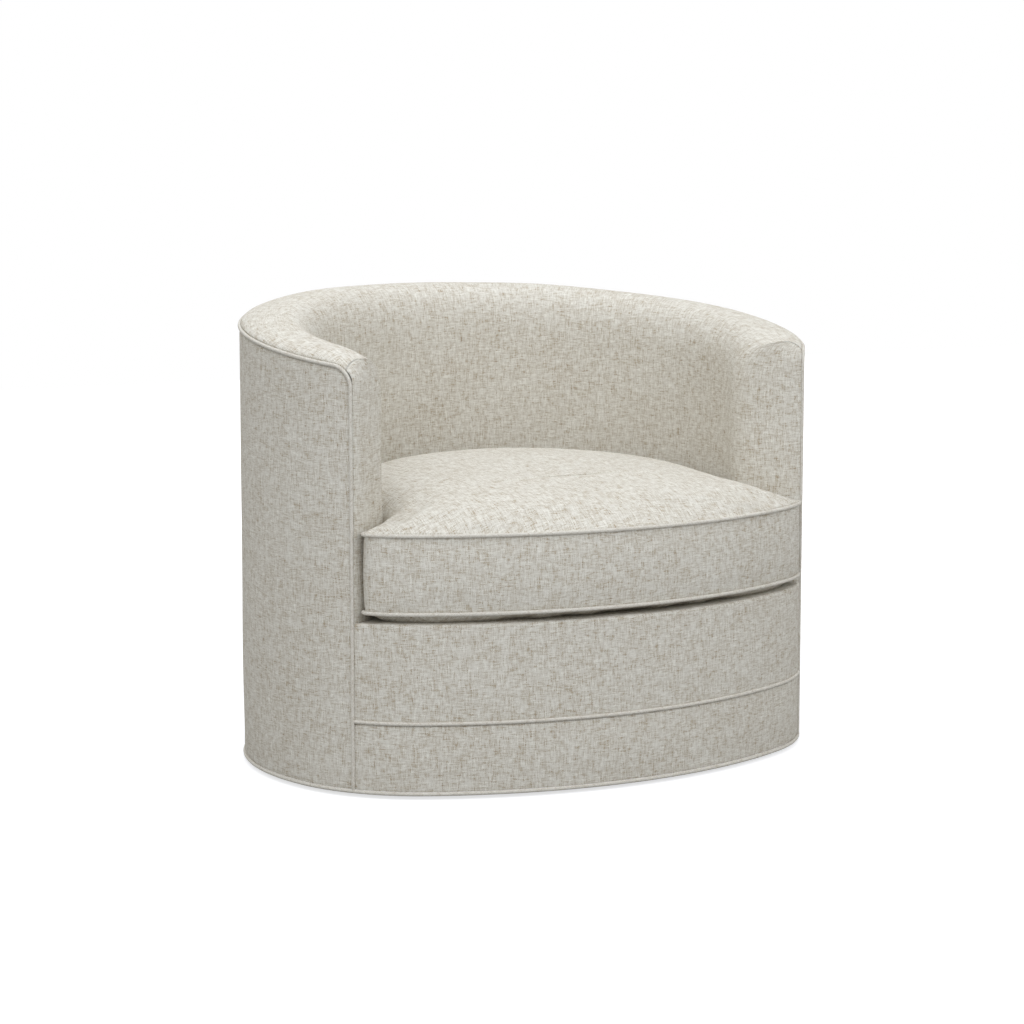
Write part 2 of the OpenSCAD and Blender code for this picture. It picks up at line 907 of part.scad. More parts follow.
module arm_end(c, extra = 0) {
    skin([
        each [for (t = nose_angles) arm_ring(nose_turn(t, -c), nose_inset(t, -c), c, extra)],
        each [
            for (s = [0, each extra > 0 ? [extra] : []])
                arm_ring(joint_turn + turn_of(s), wall_t - c, c, extra)
        ]
    ]);
}

module arm_pad() {
    color(foam_tone)
        arm_end(pad_c);
}

module arm_facing() {
    color(fabric)
        difference() {
            arm_end(0);
            arm_end(cover_t, cut);
        }
}

module right_arm_pad() {
    arm_pad();
}

module left_arm_pad() {
    mirror([1, 0, 0])
        arm_pad();
}

module right_arm_facing() {
    arm_facing();
}

module left_arm_facing() {
    mirror([1, 0, 0])
        arm_facing();
}

module outside_cover() {
    color(fabric)
        wall_sweep(
            both_ends([seam_turn + seam_clear, each [for (i = [1:3]) end_headings[i]]], 2),
            [[0, skirt_z, 0], [0, 0, 1], [cover_t, 0, 1], [cover_t, skirt_z, 0]],
            inner = welt_clear
        );
}

module front_panel() {
    color(fabric)
        rim_block(front_headings, 0, cover_t, mid_welt_z + welt_clear, pad_top);
}

module front_band() {
    color(fabric_shade)
        rim_block(front_headings, 0, cover_t, skirt_z, mid_welt_z - welt_clear);
}

/* Welts */

corner_steps = 8;
function climb_at(i) = quarter_turn * (1 - i / corner_steps);
corner_path = [
    for (i = [0:corner_steps])
        let (a = seam_turn + turn_of(welt_turn_r * (1 - sin(climb_at(i)))))
        [a, open_top(a) - welt_turn_r * (1 - cos(climb_at(i))), climb_at(i)]
];
top_path = [
    [seam_turn, skirt_z, quarter_turn],
    each corner_path,
    each [for (i = [2:wall_steps - 2]) [wall_at(i), open_top(wall_at(i)), 0]],
    each [for (p = reversed(corner_path)) [full_turn - p[0], p[1], -p[2]]],
    [full_turn - seam_turn, skirt_z, -quarter_turn]
];

module top_welt() {
    color(welt_tone)
        skin([for (p = top_path) cord_ring(welt_place(p[0], p[1], p[2]))]);
}

module front_welt() {
    color(welt_tone)
        skin([for (a = front_headings) cord_ring(welt_place(a, mid_welt_z, 0))]);
}

module base_welt() {
    color(welt_tone)
        skin([for (a = all_headings) cord_ring(welt_place(a, base_welt_z, 0))], joined = true);
}

module dust_cover() {
    color(black_tone)
        translate([0, 0, ring_floor - dust_t])
            difference() {
                linear_extrude(dust_t)
                    polygon([for (a = all_headings) rim(a, board_inset)]);
                translate([0, 0, -cut])
                    cylinder(h = dust_t + 2 * cut, r = dust_hole_r, $fn = 128);
            }
}

/* Cushion */

low_welt_z = deck_z + touch_gap + cushion_belly;
high_welt_z = low_welt_z + boxing_h;
mid_z = (low_welt_z + high_welt_z) / 2;
cushion_middle = [0, seam_y + nose_r];

// Rings of the cushion as [share of the plan's size, share of the panel's rise], from the top
crown_shares = [[0.04, 1], [0.25, 0.99], [0.5, 0.93], [0.72, 0.78], [0.88, 0.52], [0.965, 0.24]];
belly_shares = [[0.85, 0.6], [0.5, 0.95], [0.04, 1]];
core_crown_shares = [for (i = [0, 2, 4]) crown_shares[i]];
core_belly_shares = [belly_shares[0], belly_shares[2]];

// The plan of the cushion, drawn in by a further amount
function cushion_plan(draw) = seat_plan(draw - cushion_proud, cushion_gap + draw, ear_r, 2);
function at_height(plan, z) = [for (p = plan) [each p, z]];
function shrunk(plan, share) = [for (p = plan) cushion_middle + share * (p - cushion_middle)];

// The cushion's form with its skin drawn in by c
module cushion_form(c, crown, belly) {
    edge = cushion_plan(boxing_draw + c);
    skin([
        each [
            for (s = crown)
                at_height(shrunk(edge, s[0]), high_welt_z + s[1] * crown_h - c)
        ],
        at_height(edge, high_welt_z - c / 2),
        at_height(cushion_plan(c), mid_z),
        at_height(edge, low_welt_z + c / 2),
        each [
            for (s = belly)
                at_height(shrunk(edge, s[0]), low_welt_z - s[1] * cushion_belly + c)
        ]
    ], shorter = false);
}

module cushion_core() {
    color(foam_tone)
        cushion_form(ticking_t + touch_gap, core_crown_shares, core_belly_shares);
}

module cushion_cover() {
    color(fabric)
        difference() {
            cushion_form(0, crown_shares, belly_shares);
            cushion_form(ticking_t, core_crown_shares, core_belly_shares);
        }
}

// A welt round the cushion, lying against the cover
module cushion_welt(z) {
    line = cushion_plan(boxing_draw - welt_clear);
    n = len(line);
    skin([
        for (i = [0:n - 1])
            let (
                along = line[(i + 1) % n] - line[(i + n - 1) % n],
                side = [along[1], -along[0], 0] / norm(along)
            )
            cord_ring([[each line[i], z], side, [0, 0, 1]])
    ], joined = true);
}

module cushion_upper_welt() {
    color(welt_tone)
        cushion_welt(high_welt_z);
}

module cushion_lower_welt() {
    color(welt_tone)
        cushion_welt(low_welt_z);
}

// The zip runs along the back arc between two wall steps
zip_first = 16;
zip_from = wall_at(zip_first);
zip_end = wall_at(wall_steps - zip_first);
back_radius = closing_share * x_scale;
back_centre = [0, body_d / 2 - closing_share * y_scale];
tape_r = back_radius - wall_t - cushion_gap + touch_gap;
slider_r = tape_r + zip_t + touch_gap;
slider_turn = slider_l / back_radius * half_turn / PI;

// A curved strip about the back arc's middle, from a heading on
module back_strip(from, turn, r, t, w) {
    translate([each back_centre, mid_z - w / 2])
        rotate(from - quarter_turn)
            rotate_extrude(angle = turn, $fn = 256)
                translate([r, 0])
                    square([t, w]);
}

module zip_tape() {
    color(fabric_shade)
        back_strip(zip_from, zip_end - zip_from, tape_r, zip_t, zip_w);
}

module zip_slider() {
    color(steel_tone)
        back_strip(zip_from + slider_turn / 2, slider_turn, slider_r, slider_t, slider_w);
}

base_disc();
floor_glides();
glide_screws();
lower_swivel_plate();
lower_plate_screws();
king_bolt();
king_washer();
king_nut();
ball_cage();
bearing_balls();
upper_swivel_plate();
upper_plate_screws();
swivel_joists();
bottom_ring();
lower_posts();
seat_ring();
upper_posts();
top_rail();
outside_board();
front_board();
seat_springs();
spring_clips();
spring_felt();
deck_pad();
deck_cover();
back_webbing();
back_pad();
roll_pad();
inside_cover();
left_arm_pad();
right_arm_pad();
left_arm_facing();
right_arm_facing();
outside_cover();
front_panel();
front_band();
top_welt();
front_welt();
base_welt();
dust_cover();
cushion_core();
cushion_cover();
cushion_upper_welt();
cushion_lower_welt();
zip_tape();
zip_slider();
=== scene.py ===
"""Swivel barrel chair: the covers, welts, cushion and looks around its CAD frame.

Metres, +Z up, the chair faces -Y. A place in the wall is a heading along the plan outline, 0 at
the middle of the front and 180 at the middle of the back, and an inset square to the outline.
"""
import json
import math
import bmesh
import bpy
import numpy as np
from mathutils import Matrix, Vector

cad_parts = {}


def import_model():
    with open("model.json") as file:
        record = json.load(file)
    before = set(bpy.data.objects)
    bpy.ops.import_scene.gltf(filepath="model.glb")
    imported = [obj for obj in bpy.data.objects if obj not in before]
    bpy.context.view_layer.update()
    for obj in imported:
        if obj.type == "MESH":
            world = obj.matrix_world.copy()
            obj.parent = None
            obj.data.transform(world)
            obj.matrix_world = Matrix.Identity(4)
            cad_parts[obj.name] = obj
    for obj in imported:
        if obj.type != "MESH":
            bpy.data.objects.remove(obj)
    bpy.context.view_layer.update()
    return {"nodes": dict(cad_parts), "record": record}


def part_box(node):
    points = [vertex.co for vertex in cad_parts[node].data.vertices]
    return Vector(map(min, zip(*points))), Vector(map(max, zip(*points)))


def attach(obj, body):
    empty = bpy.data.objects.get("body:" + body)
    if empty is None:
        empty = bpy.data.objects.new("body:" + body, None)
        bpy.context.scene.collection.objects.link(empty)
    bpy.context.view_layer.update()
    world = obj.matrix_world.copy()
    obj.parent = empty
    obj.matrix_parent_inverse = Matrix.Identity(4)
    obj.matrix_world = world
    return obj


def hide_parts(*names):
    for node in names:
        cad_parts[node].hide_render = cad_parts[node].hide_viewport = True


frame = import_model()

scene = bpy.context.scene

# ------------------------------------------------------------------ measures of the object
ARC_SHARES = np.array([1.535, 0.553, 0.8, 1.0230950])
ARC_HEADS = np.radians([0.0, 26.4, 73.2, 116.2, 180.0])
X_SCALE, Y_SCALE = 0.4799166, 0.4795933
HALF_DEPTH = 0.396
SEAM = 52.0
CORNER_R = ARC_SHARES[1] * X_SCALE
BACK_H, ARM_H = 0.743, 0.666
WALL = 0.120
RISE, CREST, DROP = 0.018, 0.054, 0.090
TURN_R = 0.030
WELT_R = 0.003
CLEAR = 0.0027
SKIRT_Z, BASE_Z, MID_Z = 0.0121, 0.0088, 0.119
PANEL_LOW = 0.231
DECK_Z = 0.273
LOW_WELT, HIGH_WELT = 0.290, 0.411
CROWN, BELLY = 0.072, 0.0160
ZIP_Y = -0.09467
SWELL, SWELL_INSET, NOSE_R = 0.011, 0.038, 0.042
NOSE_D = WALL - NOSE_R
COVER = 0.0022                 # thickness of the linen with its backing
EDGE_D = 0.0015                # inset of the inner cover's first line beside the welt
DART_END, TUCK_END = 0.105, 0.120   # lengths past the arm front over which the dart runs out
DART_RISE = 0.0071             # the dart's inner end above the top welt's line
DART_GROOVE, DART_WIDTH = 0.0013, 0.0016
# darkness and width of the painted shade along the dart's groove, darkened into the cloth's colour
DART_SHADE_DARK, DART_SHADE_WIDTH = 0.70, 0.0011
PADDING = 0.0009               # unevenness of the padding under the inner cover
THREAD = 0.0013                # spacing of the weave


def rim(a, d):
    """The plan outline: four tangent arcs run through to heading a, then moved in by d."""
    a, d = np.broadcast_arrays(np.asarray(a, float), np.asarray(d, float))
    a = np.mod(a, 360.0)
    side = np.where(a > 180.0, -1.0, 1.0)
    t = np.radians(np.where(a > 180.0, 360.0 - a, a))
    c = np.clip(t[..., None], ARC_HEADS[:-1], ARC_HEADS[1:])
    x = X_SCALE * (ARC_SHARES * (np.sin(c) - np.sin(ARC_HEADS[:-1]))).sum(-1)
    y = Y_SCALE * (ARC_SHARES * (np.cos(ARC_HEADS[:-1]) - np.cos(c))).sum(-1) - HALF_DEPTH
    ox, oy = Y_SCALE * np.sin(t), -X_SCALE * np.cos(t)
    n = np.hypot(ox, oy)
    return np.stack([side * (x - d * ox / n), y - d * oy / n], -1)


SEAM_Y = float(rim(SEAM, 0.0)[1])


def open_top(a):
    """Height of the top welt's line: it falls from the back to the arms as a power of the depth."""
    f = np.clip((HALF_DEPTH - rim(a, 0.0)[..., 1]) / (HALF_DEPTH - SEAM_Y), 0, 1)
    return BACK_H - (BACK_H - ARM_H) * f ** 1.18


def past_seam(a):
    """Length along the outline behind an arm front."""
    a = np.mod(a, 360.0)
    return np.radians(np.where(a > 180.0, 360.0 - a, a) - SEAM) * CORNER_R


def heading(s):
    """The heading at a length s behind the right arm front."""
    return SEAM + np.degrees(np.asarray(s, float) / CORNER_R)


def under_turn(s, inner):
    """Drop of a line that runs closer by inner inside the circle in which the top welt turns."""
    inside = (TURN_R - inner) ** 2 - np.maximum(0, TURN_R - s) ** 2
    return np.where(s < TURN_R, TURN_R - np.sqrt(np.maximum(0, inside)), inner)


def smooth(t):
    """Eases from 0 to 1 with level ends."""
    t = np.clip(t, 0, 1)
    return t * t * (3 - 2 * t)


def stops(length, fine=0.0012, coarse=0.006, growth=1.35):
    """Places from 0 to length, close together at both ends and growing to a coarse step."""
    steps = [fine]
    while steps[-1] * growth < coarse:
        steps.append(steps[-1] * growth)
    edge = np.concatenate([[0.0], np.cumsum(steps)])
    count = max(2, int(round((length - 2 * edge[-1]) / coarse)) + 1)
    middle = np.linspace(edge[-1], length - edge[-1], count)
    return np.concatenate([edge[:-1], middle, (length - edge[:-1])[::-1]])


def uneven(u, v, seed, low, high, count=14):
    """A smooth unevenness over a cloth: a sum of seeded plane waves, between -1 and 1 or so."""
    rng = np.random.default_rng(seed)
    total = np.zeros(np.broadcast(u, v).shape)
    for _ in range(count):
        k = 2 * math.pi / rng.uniform(low, high)
        turn, phase = rng.uniform(0, 2 * math.pi, 2)
        total += np.sin(k * (math.cos(turn) * u + math.sin(turn) * v) + phase)
    return total / math.sqrt(count)


def normals(P):
    """Unit normals of a grid of points: the cross product of its two directions."""
    n = np.cross(np.gradient(P, axis=1), np.gradient(P, axis=0))
    return n / np.maximum(np.linalg.norm(n, axis=-1, keepdims=True), 1e-12)


def run_length(P, axis):
    """Distance run along one direction of a grid of points."""
    step = np.linalg.norm(np.diff(P, axis=axis), axis=-1)
    zero = np.zeros_like(np.take(step, [0], axis=axis))
    return np.concatenate([zero, np.cumsum(step, axis=axis)], axis=axis)


# ------------------------------------------------------------------ meshes from grids
def mesh_of(name, grids, flip=False):
    """One object from grids of points [(points, cloth map, darkness of painted shade), ...]. A
    grid's quads join its neighbouring points, and points that lie together are merged. The
    painted shade is kept as a point attribute that darkens the colour."""
    points, quads, maps, painted_shades, first = [], [], [], [], 0
    for P, uv, *painted_shade in grids:
        m, n = P.shape[:2]
        painted_shades.append(np.broadcast_to(painted_shade[0] if painted_shade else 0.0, (m, n)).ravel())
        idx = first + np.arange(m * n).reshape(m, n)
        q = np.stack([idx[:-1, :-1], idx[:-1, 1:], idx[1:, 1:], idx[1:, :-1]], -1).reshape(-1, 4)
        w = np.stack([uv[:-1, :-1], uv[:-1, 1:], uv[1:, 1:], uv[1:, :-1]], 2).reshape(-1, 4, 2)
        if flip:
            q, w = q[:, ::-1], w[:, ::-1]
        points.append(P.reshape(-1, 3))
        quads.append(q)
        maps.append(w)
        first += m * n
    V, Q, W = np.concatenate(points), np.concatenate(quads), np.concatenate(maps)
    me = bpy.data.meshes.new(name)
    me.vertices.add(len(V))
    me.vertices.foreach_set("co", V.astype(np.float32).ravel())
    me.loops.add(Q.size)
    me.loops.foreach_set("vertex_index", Q.astype(np.int32).ravel())
    me.polygons.add(len(Q))
    me.polygons.foreach_set("loop_start", np.arange(0, Q.size, 4, dtype=np.int32))
    me.update(calc_edges=True)
    layer = me.uv_layers.new(name="cloth")
    layer.data.foreach_set("uv", W.astype(np.float32).ravel())
    # painted shade: a point attribute that darkens the colour along the dart's groove
    dart_shade = me.attributes.new("dart_shade", "FLOAT", "POINT")
    dart_shade.data.foreach_set("value", np.concatenate(painted_shades).astype(np.float32))
    bm = bmesh.new()
    bm.from_mesh(me)
    bmesh.ops.remove_doubles(bm, verts=bm.verts, dist=2e-6)
    bm.to_mesh(me)
    bm.free()
    me.validate()
    me.polygons.foreach_set("use_smooth", np.ones(len(me.polygons), bool))
    ob = bpy.data.objects.new(name, me)
    scene.collection.objects.link(ob)
    return ob


def thicken(ob, depth):
    """Gives a cover its thickness, on the side away from its face."""
    mod = ob.modifiers.new("thickness", "SOLIDIFY")
    mod.thickness = depth
    mod.offset = -1.0


def cord_piece(name, path, out, radius, closed=False, sides=14, seed=1):
    """A sewn cord: a circle carried along a path, set by its outward direction, with a slight
    unevenness of its radius. An open cord's ends round down to a point."""
    n = len(path)
    if closed:
        path = np.concatenate([path, path[:1]])
        out = np.concatenate([out, out[:1]])
        along = np.roll(path[:-1], -1, 0) - np.roll(path[:-1], 1, 0)
        along = np.concatenate([along, along[:1]])
    else:
        along = np.gradient(path, axis=0)
    along /= np.linalg.norm(along, axis=1, keepdims=True)
    up = np.cross(along, out)
    up /= np.linalg.norm(up, axis=1, keepdims=True)
    out = np.cross(up, along)
    run = np.concatenate([[0], np.cumsum(np.linalg.norm(np.diff(path, axis=0), axis=1))])
    phase = run / run[-1] * 2 * math.pi
    wave = np.zeros(len(run))
    rng = np.random.default_rng(seed)
    for _ in range(12):
        turns = int(rng.uniform(run[-1] / 0.09, run[-1] / 0.012))
        wave += np.sin(turns * phase + rng.uniform(0, 6.28))
    r = radius * (1 + 0.004 * wave)
    if not closed:
        caps = np.array([0.02, 0.55, 0.85, 1.0])
        path = np.concatenate([
            path[:1] - along[:1] * radius * np.array([[0.9], [0.75], [0.4]]), path,
            path[-1:] + along[-1:] * radius * np.array([[0.4], [0.75], [0.9]])])
        out = np.concatenate([np.repeat(out[:1], 3, 0), out, np.repeat(out[-1:], 3, 0)])
        up = np.concatenate([np.repeat(up[:1], 3, 0), up, np.repeat(up[-1:], 3, 0)])
        r = np.concatenate([r[0] * caps[:3], r, r[-1] * caps[2::-1]])
        run = np.concatenate([run[0] - radius * np.array([0.9, 0.75, 0.4]), run,
                              run[-1] + radius * np.array([0.4, 0.75, 0.9])])
        path = np.concatenate([path[:1], path, path[-1:]])
        out = np.concatenate([out[:1], out, out[-1:]])
        up = np.concatenate([up[:1], up, up[-1:]])
        r = np.concatenate([[0.0], r, [0.0]])
        run = np.concatenate([run[:1], run, run[-1:]])
    k = np.linspace(0, 2 * math.pi, sides + 1)
    P = (path[:, None] + r[:, None, None]
         * (np.cos(k)[None, :, None] * out[:, None] + np.sin(k)[None, :, None] * up[:, None]))
    uv = np.stack(np.broadcast_arrays(k[None] * radius, run[:, None]), -1)
    return mesh_of(name, [(P, uv)])


# ------------------------------------------------------------------ materials
def group(name, ins, outs):
    """A shader node group with named inputs and outputs."""
    g = bpy.data.node_groups.new(name, "ShaderNodeTree")
    for n, kind in ins:
        g.interface.new_socket(name=n, in_out="INPUT", socket_type="NodeSocket" + kind)
    for n, kind in outs:
        g.interface.new_socket(name=n, in_out="OUTPUT", socket_type="NodeSocket" + kind)
    return g, g.nodes.new("NodeGroupInput").outputs, g.nodes.new("NodeGroupOutput").inputs


class Net:
    """Adds nodes to a tree and joins them up."""

    def __init__(self, tree):
        self.tree = tree

    def node(self, kind, ins=None, **settings):
        n = self.tree.nodes.new(kind)
        for key, value in settings.items():
            setattr(n, key, value)
        for key, value in (ins or {}).items():
            if isinstance(value, bpy.types.NodeSocket):
                self.tree.links.new(value, n.inputs[key])
            else:
                n.inputs[key].default_value = value
        return n

    def math(self, op, a, b=0.0, c=0.0, clamp=False):
        return self.node("ShaderNodeMath", {0: a, 1: b, 2: c}, operation=op,
                         use_clamp=clamp).outputs[0]

    def noise(self, vector, scale, detail=2.0, rough=0.5):
        return self.node("ShaderNodeTexNoise", {"Vector": vector, "Scale": scale,
                         "Detail": detail, "Roughness": rough}).outputs["Fac"]

    def ramp(self, value, colours):
        n = self.node("ShaderNodeValToRGB", {"Fac": value})
        bar = n.color_ramp
        while len(bar.elements) < len(colours):
            bar.elements.new(0.5)
        for e, (place, colour) in zip(bar.elements, colours):
            e.position = place
        for e, (place, colour) in zip(bar.elements, colours):
            e.color = (*colour, 1)
        return n.outputs["Color"]

    def scaled(self, vector, factor):
        return self.node("ShaderNodeVectorMath", {0: vector, "Scale": factor},
                         operation="SCALE").outputs[0]

    def join(self, a, socket):
        self.tree.links.new(a, socket)


def weave_group():
    """Plain-woven linen. Threads are numbered cells of the cloth map, each has its own run of
    light and dark along its length, and a chequer with some noise says which lies on top."""
    g, i, o = group("linen weave",
                    [("Vector", "Vector"), ("Pitch", "Float"), ("Tint", "Color"),
                     ("Contrast", "Float"), ("Dart shade", "Float")],
                    [("Color", "Color"), ("Height", "Float")])
    net = Net(g)
    inv = net.math("DIVIDE", 1.0, i["Pitch"])
    cells = net.node("ShaderNodeVectorMath", {0: i["Vector"], "Scale": inv}, operation="SCALE")
    xyz = net.node("ShaderNodeSeparateXYZ", {0: cells.outputs[0]}).outputs
    wx, wy = net.math("FLOOR", xyz[0]), net.math("FLOOR", xyz[1])
    along = 0.085
    warp_at = net.node("ShaderNodeCombineXYZ", {0: net.math("MULTIPLY", wx, 3.173),
                       1: net.math("MULTIPLY", xyz[1], along), 2: 1.7}).outputs[0]
    weft_at = net.node("ShaderNodeCombineXYZ", {0: net.math("MULTIPLY", xyz[0], along),
                       1: net.math("MULTIPLY", wy, 3.457), 2: 9.1}).outputs[0]
    warp = net.noise(warp_at, 1.0, 2.0, 0.6)
    weft = net.noise(weft_at, 1.0, 2.0, 0.6)
    chequer = net.math("MODULO", net.math("ADD", net.math("ADD", wx, wy), 20000.0), 2.0)
    drift = net.noise(cells.outputs[0], 0.35, 1.0)
    top = net.math("ADD", net.math("MULTIPLY", net.math("SUBTRACT", chequer, 0.5), 0.8),
                   net.math("MULTIPLY", net.math("SUBTRACT", drift, 0.5), 2.2))
    top = net.math("ADD", top, 0.5, clamp=True)
    value = net.node("ShaderNodeMix", {0: top, 2: weft, 3: warp}).outputs[0]
    broad = net.noise(i["Vector"], 75.0, 3.0, 0.6)
    wide = net.noise(i["Vector"], 9.0, 1.0)
    value = net.math("ADD", value, net.math("MULTIPLY", net.math("SUBTRACT", broad, 0.5), 0.24))
    value = net.math("ADD", value, net.math("MULTIPLY", net.math("SUBTRACT", wide, 0.5), 0.05))
    tone = net.ramp(value, [(0.20, (0.36, 0.26, 0.16)), (0.37, (0.72, 0.65, 0.55)),
                            (0.49, (0.98, 0.98, 0.97)), (0.62, (1.15, 1.175, 1.19)),
                            (0.82, (1.38, 1.43, 1.48))])
    tone = net.node("ShaderNodeMix", {0: i["Contrast"], 6: (1, 1, 1, 1), 7: tone},
                    data_type="RGBA", clamp_result=False).outputs[2]
    colour = net.node("ShaderNodeMix", {0: 1.0, 6: tone, 7: i["Tint"]}, data_type="RGBA",
                      blend_type="MULTIPLY", clamp_result=False).outputs[2]
    # painted shade: the colour is darkened along the dart's groove by the input for it
    colour = net.scaled(colour, net.math("SUBTRACT", 1.0, i["Dart shade"], clamp=True))
    px = net.math("SINE", net.math("MULTIPLY", net.math("FRACT", xyz[0]), math.pi))
    py = net.math("SINE", net.math("MULTIPLY", net.math("FRACT", xyz[1]), math.pi))
    high = net.node("ShaderNodeMix", {0: top, 2: py, 3: px}).outputs[0]
    high = net.math("ADD", high, net.math("MULTIPLY", value, 0.8))
    net.join(colour, o["Color"])
    net.join(high, o["Height"])
    return g


WEAVE = weave_group()


def material(name, rough, metal=0.0, **sockets):
    """An empty material with its Principled shader, whose constant values are set here."""
    mat = bpy.data.materials.new(name)
    mat.use_nodes = True
    net = Net(mat.node_tree)
    shader = mat.node_tree.nodes["Principled BSDF"]
    shader.inputs["Roughness"].default_value = rough
    shader.inputs["Metallic"].default_value = metal
    for key, value in sockets.items():
        shader.inputs[key.replace("_", " ")].default_value = value
    return mat, net, shader


def bumped(net, shader, height, distance, strength):
    """Gives a shader a bump of a height."""
    bump = net.node("ShaderNodeBump", {"Height": height, "Distance": distance,
                                       "Strength": strength})
    net.join(bump.outputs[0], shader.inputs["Normal"])


def linen(name, tint, turn=0.0, strength=0.45, contrast=1.0):
    """The linen on the cloth map, turned for a cord cut on the bias, with painted shade along the
    dart's groove taken from a point attribute.
    """
    mat, net, shader = material(name, 0.92, Specular_IOR_Level=0.25)
    uv = net.node("ShaderNodeUVMap", uv_map="cloth").outputs[0]
    if turn:
        uv = net.node("ShaderNodeMapping", {"Vector": uv, "Rotation": (0, 0, turn)}).outputs[0]
    weave = net.node("ShaderNodeGroup", {}, node_tree=WEAVE)
    net.join(uv, weave.inputs["Vector"])
    weave.inputs["Pitch"].default_value = THREAD
    weave.inputs["Tint"].default_value = (*tint, 1)
    weave.inputs["Contrast"].default_value = contrast
    # painted shade along the dart's groove, read from the mesh
    net.join(net.node("ShaderNodeAttribute", attribute_name="dart_shade").outputs["Fac"],
             weave.inputs["Dart shade"])
    net.join(weave.outputs["Color"], shader.inputs["Base Color"])
    bumped(net, shader, weave.outputs["Height"], 0.0004, strength)
    return mat


linen_mat = linen("linen", (0.578, 0.543, 0.470))
welt_mat = linen("linen on the bias", (0.578, 0.545, 0.474), turn=math.radians(45), strength=0.2,
                 contrast=0.55)
deck_mat = linen("deck linen", (0.48, 0.455, 0.395))


def from_object(net):
    return net.node("ShaderNodeTexCoord").outputs["Object"]


def plain(name, low, high, scale, rough, metal=0.0, stretch=(1, 1, 1), depth=0.0):
    """A procedural finish: noise through a ramp of two tones, with a bump of the same noise."""
    mat, net, shader = material(name, rough, metal)
    at = net.node("ShaderNodeMapping", {"Vector": from_object(net), "Scale": stretch}).outputs[0]
    value = net.noise(at, scale, 3.0, 0.55)
    net.join(net.ramp(value, [(0.30, low), (0.70, high)]), shader.inputs["Base Color"])
    if depth:
        bumped(net, shader, value, depth, 0.6)
    return mat


def plywood():
    """Plywood: plies as stripes of the height, with grain along the board."""
    mat, net, shader = material("plywood", 0.62)
    at = from_object(net)
    xyz = net.node("ShaderNodeSeparateXYZ", {0: at}).outputs
    ply = net.math("MODULO", net.math("FLOOR", net.math("MULTIPLY", xyz[2], 420.0)), 2.0)
    grain = net.noise(net.node("ShaderNodeMapping", {"Vector": at,
                      "Scale": (1.0, 9.0, 1.0)}).outputs[0], 22.0, 4.0, 0.6)
    value = net.math("ADD", net.math("MULTIPLY", ply, 0.22), net.math("MULTIPLY", grain, 0.7))
    net.join(net.ramp(value, [(0.25, (0.40, 0.24, 0.12)), (0.75, (0.68, 0.50, 0.30))]),
             shader.inputs["Base Color"])
    bumped(net, shader, grain, 0.0003, 0.4)
    return mat


FINISHES = {
    "plywood": plywood(),
    "hardwood": plain("beech", (0.46, 0.29, 0.16), (0.66, 0.47, 0.30), 14.0, 0.55,
                      stretch=(6, 6, 0.5), depth=0.0002),
    "fibreboard": plain("fibreboard", (0.20, 0.125, 0.07), (0.34, 0.235, 0.14), 320.0, 0.85,
                        depth=0.0003),
    "foam": plain("foam", (0.62, 0.56, 0.36), (0.80, 0.75, 0.52), 900.0, 0.95, depth=0.0004),
    "felt": plain("felt", (0.06, 0.055, 0.05), (0.24, 0.21, 0.19), 260.0, 1.0, depth=0.0005),
    "webbing": plain("webbing", (0.08, 0.06, 0.045), (0.16, 0.12, 0.085), 700.0, 0.9,
                     stretch=(1, 1, 3), depth=0.0003),
    "dust_cloth": plain("dust cloth", (0.008, 0.008, 0.009), (0.03, 0.03, 0.033), 900.0, 0.95,
                        depth=0.0002),
    "steel": plain("zinc-plated steel", (0.42, 0.43, 0.44), (0.60, 0.61, 0.62), 60.0, 0.36, 1.0,
                   stretch=(1, 8, 1), depth=0.00005),
    "ball_steel": plain("polished steel", (0.62, 0.62, 0.63), (0.74, 0.74, 0.75), 300.0, 0.12,
                        1.0),
    "glide_plastic": plain("black nylon", (0.010, 0.010, 0.011), (0.024, 0.024, 0.026), 500.0,
                           0.5, depth=0.0001),
    "zip_metal": plain("antique brass", (0.24, 0.19, 0.10), (0.42, 0.35, 0.20), 900.0, 0.38, 1.0,
                       depth=0.00005),
    "zip_fabric": plain("zip tape", (0.34, 0.33, 0.29), (0.50, 0.48, 0.43), 900.0, 0.9,
                        stretch=(1, 1, 4), depth=0.0003),
    "linen_fabric": linen_mat,
    "welt_fabric": welt_mat,
    "deck_fabric": deck_mat,
}
for row in frame["record"]["subparts"]:
    node = frame["nodes"][row["node"]]
    node.data.materials.clear()
    node.data.materials.append(FINISHES[row["material_slot"]])


def piece(ob, body, slot, *nodes):
    """Puts a piece on its body, hides the CAD parts it stands in for, and gives it its finish."""
    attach(ob, body)
    if nodes:
        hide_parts(*nodes)
    ob.data.materials.clear()
    ob.data.materials.append(FINISHES[slot])
    return ob


